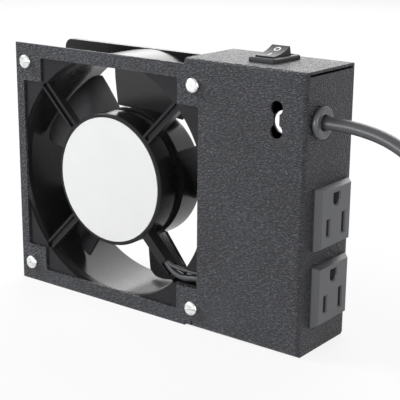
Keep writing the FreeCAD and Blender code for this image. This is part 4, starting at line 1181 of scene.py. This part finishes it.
@dataclass
class RockerMarks:
    """The ring and the bar printed on the rocker's hollow top.

    Attributes:
        pivot: The rocker's axis.
        tilt: How far the rocker is tipped at rest, in degrees.
        half: Half the rocker's length.
        end_height: The height of its ends above its pivot.
        dip_height: The height of its middle above its pivot.
        ring_place: The ring's place along the rocker.
        ring_inner: The ring's inner radius.
        ring_outer: The ring's outer radius.
        ring_sides: How many sides stand for the ring's round.
        bar_place: The bar's place along the rocker.
        bar_length: The bar's length.
        bar_width: The bar's width.
        bar_corner: The radius of the bar's corners.
        bar_steps: How many steps let the bar follow the hollow.
        ink: How far the ink stands above the plastic.
    """

    pivot: Point = (0.0536, 0.00185, 0.1240)
    tilt: float = 14.0
    half: float = 0.0067
    end_height: float = 0.0068
    dip_height: float = 0.0059
    ring_place: float = 0.0036
    ring_inner: float = 0.00095
    ring_outer: float = 0.00165
    ring_sides: int = 48
    bar_place: float = -0.0024
    bar_length: float = 0.0032
    bar_width: float = 0.0007
    bar_corner: float = 0.00021
    bar_steps: int = 6
    ink: float = 0.00005

    def height(self, y: float) -> float:
        """Gives the height of the rocker's top above its pivot.

        Args:
            y: The place along the rocker.

        Returns:
            The height.
        """
        lift = self.end_height - self.dip_height
        bow = (self.half**2 + lift**2) / (2.0 * lift)
        return self.dip_height + bow - math.sqrt(bow**2 - y**2)

    def seat(self, mark: bpy.types.Object, place: float, name: str) -> None:
        """Lays a flat mark on the rocker's top.

        Args:
            mark: The mark, drawn flat about its own middle.
            place: Its place along the rocker.
            name: Its name.
        """
        for vertex in mark.data.vertices:
            vertex.co.z = self.height(place + vertex.co.y)
            vertex.co.y += place
        modify(mark, "SOLIDIFY", thickness=2.0 * self.ink, offset=0.0)
        mark.location = self.pivot
        mark.rotation_euler = (math.radians(self.tilt), 0.0, 0.0)
        finish_piece(mark)
        settle(mark, name, Body.ROCKER, INK)

    def ring(self) -> None:
        """Makes the ring."""
        deselect()
        bpy.ops.mesh.primitive_circle_add(
            vertices=self.ring_sides, radius=self.ring_inner, fill_type="NOTHING"
        )
        mark = bpy.context.object
        grow = self.ring_outer / self.ring_inner
        edit(mark, "EDGE", lambda edge: True)
        bpy.ops.mesh.extrude_region_move()
        bpy.ops.transform.resize(value=(grow, grow, 1.0), center_override=(0.0, 0.0, 0.0))
        close(mark)
        self.seat(mark, self.ring_place, "rocker_ring_mark")

    def bar(self) -> None:
        """Makes the bar, with rounded corners."""
        deselect()
        bpy.ops.mesh.primitive_grid_add(x_subdivisions=1, y_subdivisions=self.bar_steps, size=1.0)
        mark = bpy.context.object
        mark.scale = (self.bar_width, self.bar_length, 1.0)
        place_in_mesh()
        tip = self.bar_length / 2.0 - NEAR
        edit(mark, "VERT", lambda vertex: abs(vertex.co.y) > tip)
        bpy.ops.mesh.bevel(offset=self.bar_corner, segments=3, affect="VERTICES")
        close(mark)
        self.seat(mark, self.bar_place, "rocker_bar_mark")

    def build(self) -> None:
        """Makes both marks."""
        self.ring()
        self.bar()


@dataclass
class FanLead:
    """The thinner of the fan's leads, which leaves the cap beside the sleeve and follows it into the box.

    Attributes:
        radius: Its radius.
        route: Its control points.
    """

    radius: float = 0.0009
    route: tuple[Point, ...] = (
        (0.00654, -0.0159, 0.02897),
        (0.00965, -0.0177, 0.02783),
        (0.01298, -0.0173, 0.02700),
        (0.02050, -0.0169, 0.02620),
        (0.02860, -0.0162, 0.02640),
        (0.03450, -0.0159, 0.02640),
        (0.04260, -0.0149, 0.02680),
    )

    def build(self) -> None:
        """Makes the lead as a smooth tube."""
        lead = tube("fan_lead", self.route, self.radius, order=4, steps=6)
        pick(lead)
        bpy.ops.object.convert(target="MESH")
        finish_piece(lead)
        settle(lead, "fan_lead", Body.PANEL, SLEEVE)


@dataclass
class BottomFold:
    """The folded foot of the outlet wall, which closes the seam over the underside.

    Attributes:
        wall: The place of the outlet wall's outer face.
        thickness: The sheet's thickness.
        cover: How far the foot stands out over the wall, so that no seam shows.
        low: The height of its underside.
        high: The height of its top.
        front: The place of its front end.
        back: The place of its rear end.
        corner: The radius of its outer lower edge.
    """

    wall: float = 0.0838
    thickness: float = 0.0012
    cover: float = 0.00002
    low: float = 0.00004
    high: float = 0.0024
    front: float = -0.0169
    back: float = 0.0183
    corner: float = 0.0006

    def outer_edge(self, edge: bmesh.types.BMEdge) -> bool:
        """Tells the foot's outer lower edge from the others.

        Args:
            edge: One of its edges.

        Returns:
            Whether it is that edge.
        """
        outside = min(vertex.co.x for vertex in edge.verts) > self.wall - SAME_LEVEL
        return outside and max(vertex.co.z for vertex in edge.verts) < self.low + SAME_LEVEL

    def build(self) -> None:
        """Makes the foot as a strip with a rounded edge."""
        size = (self.thickness + 2.0 * self.cover, self.back - self.front, self.high - self.low)
        across = self.wall - self.thickness / 2.0
        strip = block(size, (across, (self.front + self.back) / 2.0, (self.low + self.high) / 2.0))
        edit(strip, "EDGE", self.outer_edge)
        bpy.ops.mesh.bevel(offset=self.corner, segments=4, affect="EDGES")
        close(strip)
        finish_piece(strip)
        settle(strip, "bottom_fold", Body.PANEL, POWDER)


@dataclass
class PackedNodes:
    """The solids that are shown as they were packed.

    Attributes:
        frame: What the frame holds.
    """

    frame: dict[str, Any]

    def dress(self) -> None:
        """Gives every solid the finish of its material slot."""
        for row in self.frame["record"]["subparts"]:
            finish = FINISHES[row["material_slot"]]
            for place in self.frame["nodes"][row["node"]].material_slots:
                place.link = "OBJECT"
                place.material = finish.material()


# ---------------------------------------------------------------------------
# The studio
# ---------------------------------------------------------------------------


WHITE: Colour = (1.0, 1.0, 1.0)
COOL: Colour = (0.95, 0.97, 1.0)
WARM: Colour = (1.0, 0.97, 0.95)
PANEL_MIDDLE: Point = (0.0, 0.0, 0.06)
"""The middle of the panel, which the lamps face."""


@dataclass(frozen=True)
class Lamp:
    """One soft square lamp.

    Attributes:
        name: Its name.
        place: Where it hangs.
        side: The length of its side.
        watts: Its power.
        colour: Its colour.
        aim: The point it faces.
    """

    name: str
    place: Point
    side: float
    watts: float
    colour: Colour
    aim: Point = PANEL_MIDDLE

    def hang(self) -> None:
        """Adds the lamp."""
        data = bpy.data.lights.new(self.name, "AREA")
        data.size = self.side
        data.energy = self.watts
        data.color = self.colour
        lamp = bpy.data.objects.new(self.name, data)
        lamp.location = self.place
        lamp.rotation_euler = (Vector(self.aim) - Vector(self.place)).to_track_quat("-Z", "Y").to_euler()
        bpy.context.scene.collection.objects.link(lamp)


@dataclass
class Studio:
    """The floor, the soft lights, the pale surroundings and the camera.

    Attributes:
        lens: The camera's focal length, in millimetres.
        sensor: The width of its sensor, in millimetres.
        eye: The camera's place.
        turn: The camera's turn about each axis, in degrees.
        nearest: The nearest thing that the camera sees.
        floor_size: The length of the floor's side.
        floor_depth: How far the floor lies below the part.
        floor_tone: The floor's colour.
        floor_rough: The floor's roughness.
        floor_white: The share of the floor that is plain white to the rays that show the background.
        glow: The strength of the surroundings for all other rays.
        lamps: The lamps.
    """

    lens: float = 98.87
    sensor: float = 36.0
    eye: Point = (0.318394, -0.398461, 0.199022)
    turn: Point = (74.0591, -0.5277, 37.4613)
    nearest: float = 0.01
    floor_size: float = 10.0
    floor_depth: float = 0.0003
    floor_tone: Colour = (0.86, 0.86, 0.86)
    floor_rough: float = 0.9
    floor_white: float = 0.86
    glow: float = 0.34
    lamps: tuple[Lamp, ...] = (
        Lamp("front", (-0.35, -1.20, 0.12), side=0.5, watts=10.5, colour=COOL, aim=(0.0, 0.0, 0.0)),
        Lamp("left", (-0.95, -0.45, 0.80), side=0.4, watts=9.0, colour=COOL),
        Lamp("side", (1.35, -0.30, 0.30), side=0.5, watts=7.5, colour=WARM),
        Lamp("back", (-0.45, 1.00, 0.80), side=1.1, watts=14.0, colour=WHITE),
    )

    def camera(self) -> None:
        """Adds the camera."""
        data = bpy.data.cameras.new("camera")
        data.lens = self.lens
        data.sensor_width = self.sensor
        data.clip_start = self.nearest
        data.dof.use_dof = False
        camera = bpy.data.objects.new("camera", data)
        camera.location = self.eye
        camera.rotation_euler = [math.radians(angle) for angle in self.turn]
        bpy.context.scene.collection.objects.link(camera)
        bpy.context.scene.camera = camera

    def floor(self) -> None:
        """Adds the pale floor, which is nearly white where it shows and keeps a soft shadow."""
        bpy.ops.mesh.primitive_plane_add(size=self.floor_size, location=(0.0, 0.0, -self.floor_depth))
        floor = bpy.context.object
        floor.name = "floor"
        graph = Graph("floor")
        graph.surface(Base_Color=self.floor_tone, Roughness=self.floor_rough)
        white = graph.node("ShaderNodeEmission", {}, {"Color": WHITE, "Strength": 1.0})
        parts = {0: graph.shown() * self.floor_white, 1: graph.shader.outputs[0], 2: white.outputs[0]}
        mixed = graph.node("ShaderNodeMixShader", {}, parts)
        graph.feed(graph.output.inputs["Surface"], mixed.outputs[0])
        floor.data.materials.append(graph.material)

    def surroundings(self) -> None:
        """Adds the world, which is white where it shows and dimmer where it lights the object."""
        world = bpy.data.worlds.new("studio")
        bpy.context.scene.world = world
        world.use_nodes = True
        tree = Tree(world.node_tree)
        strength = tree.shown() * (1.0 - self.glow) + self.glow
        light = tree.node("ShaderNodeBackground", {}, {"Color": WHITE, "Strength": strength})
        tree.node("ShaderNodeOutputWorld", {}, {"Surface": light.outputs[0]})

    def build(self) -> None:
        """Sets up the whole studio."""
        self.camera()
        self.floor()
        self.surroundings()
        for lamp in self.lamps:
            lamp.hang()
        bpy.context.scene.view_settings.view_transform = "Standard"


def main() -> None:
    """Builds the scene in order and reports each piece."""
    logging.basicConfig(level=logging.INFO, format="%(name)s: %(message)s")
    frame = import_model()
    nodes = PackedNodes(frame)
    Studio().build()
    LOG.info("studio set up")
    maker = MainsCord()
    cord = maker.build()
    LOG.info("mains cord laid")
    plug = MainsPlug().build()
    LOG.info("mains plug moulded")
    HankTie().build()
    LOG.info("hank tied")
    RockerMarks().build()
    LOG.info("rocker marked")
    FanLead().build()
    LOG.info("fan's lead laid")
    BottomFold().build()
    LOG.info("bottom seam closed")
    nodes.dress()
    LOG.info("solids dressed")


if __name__ == "__main__":
    main()
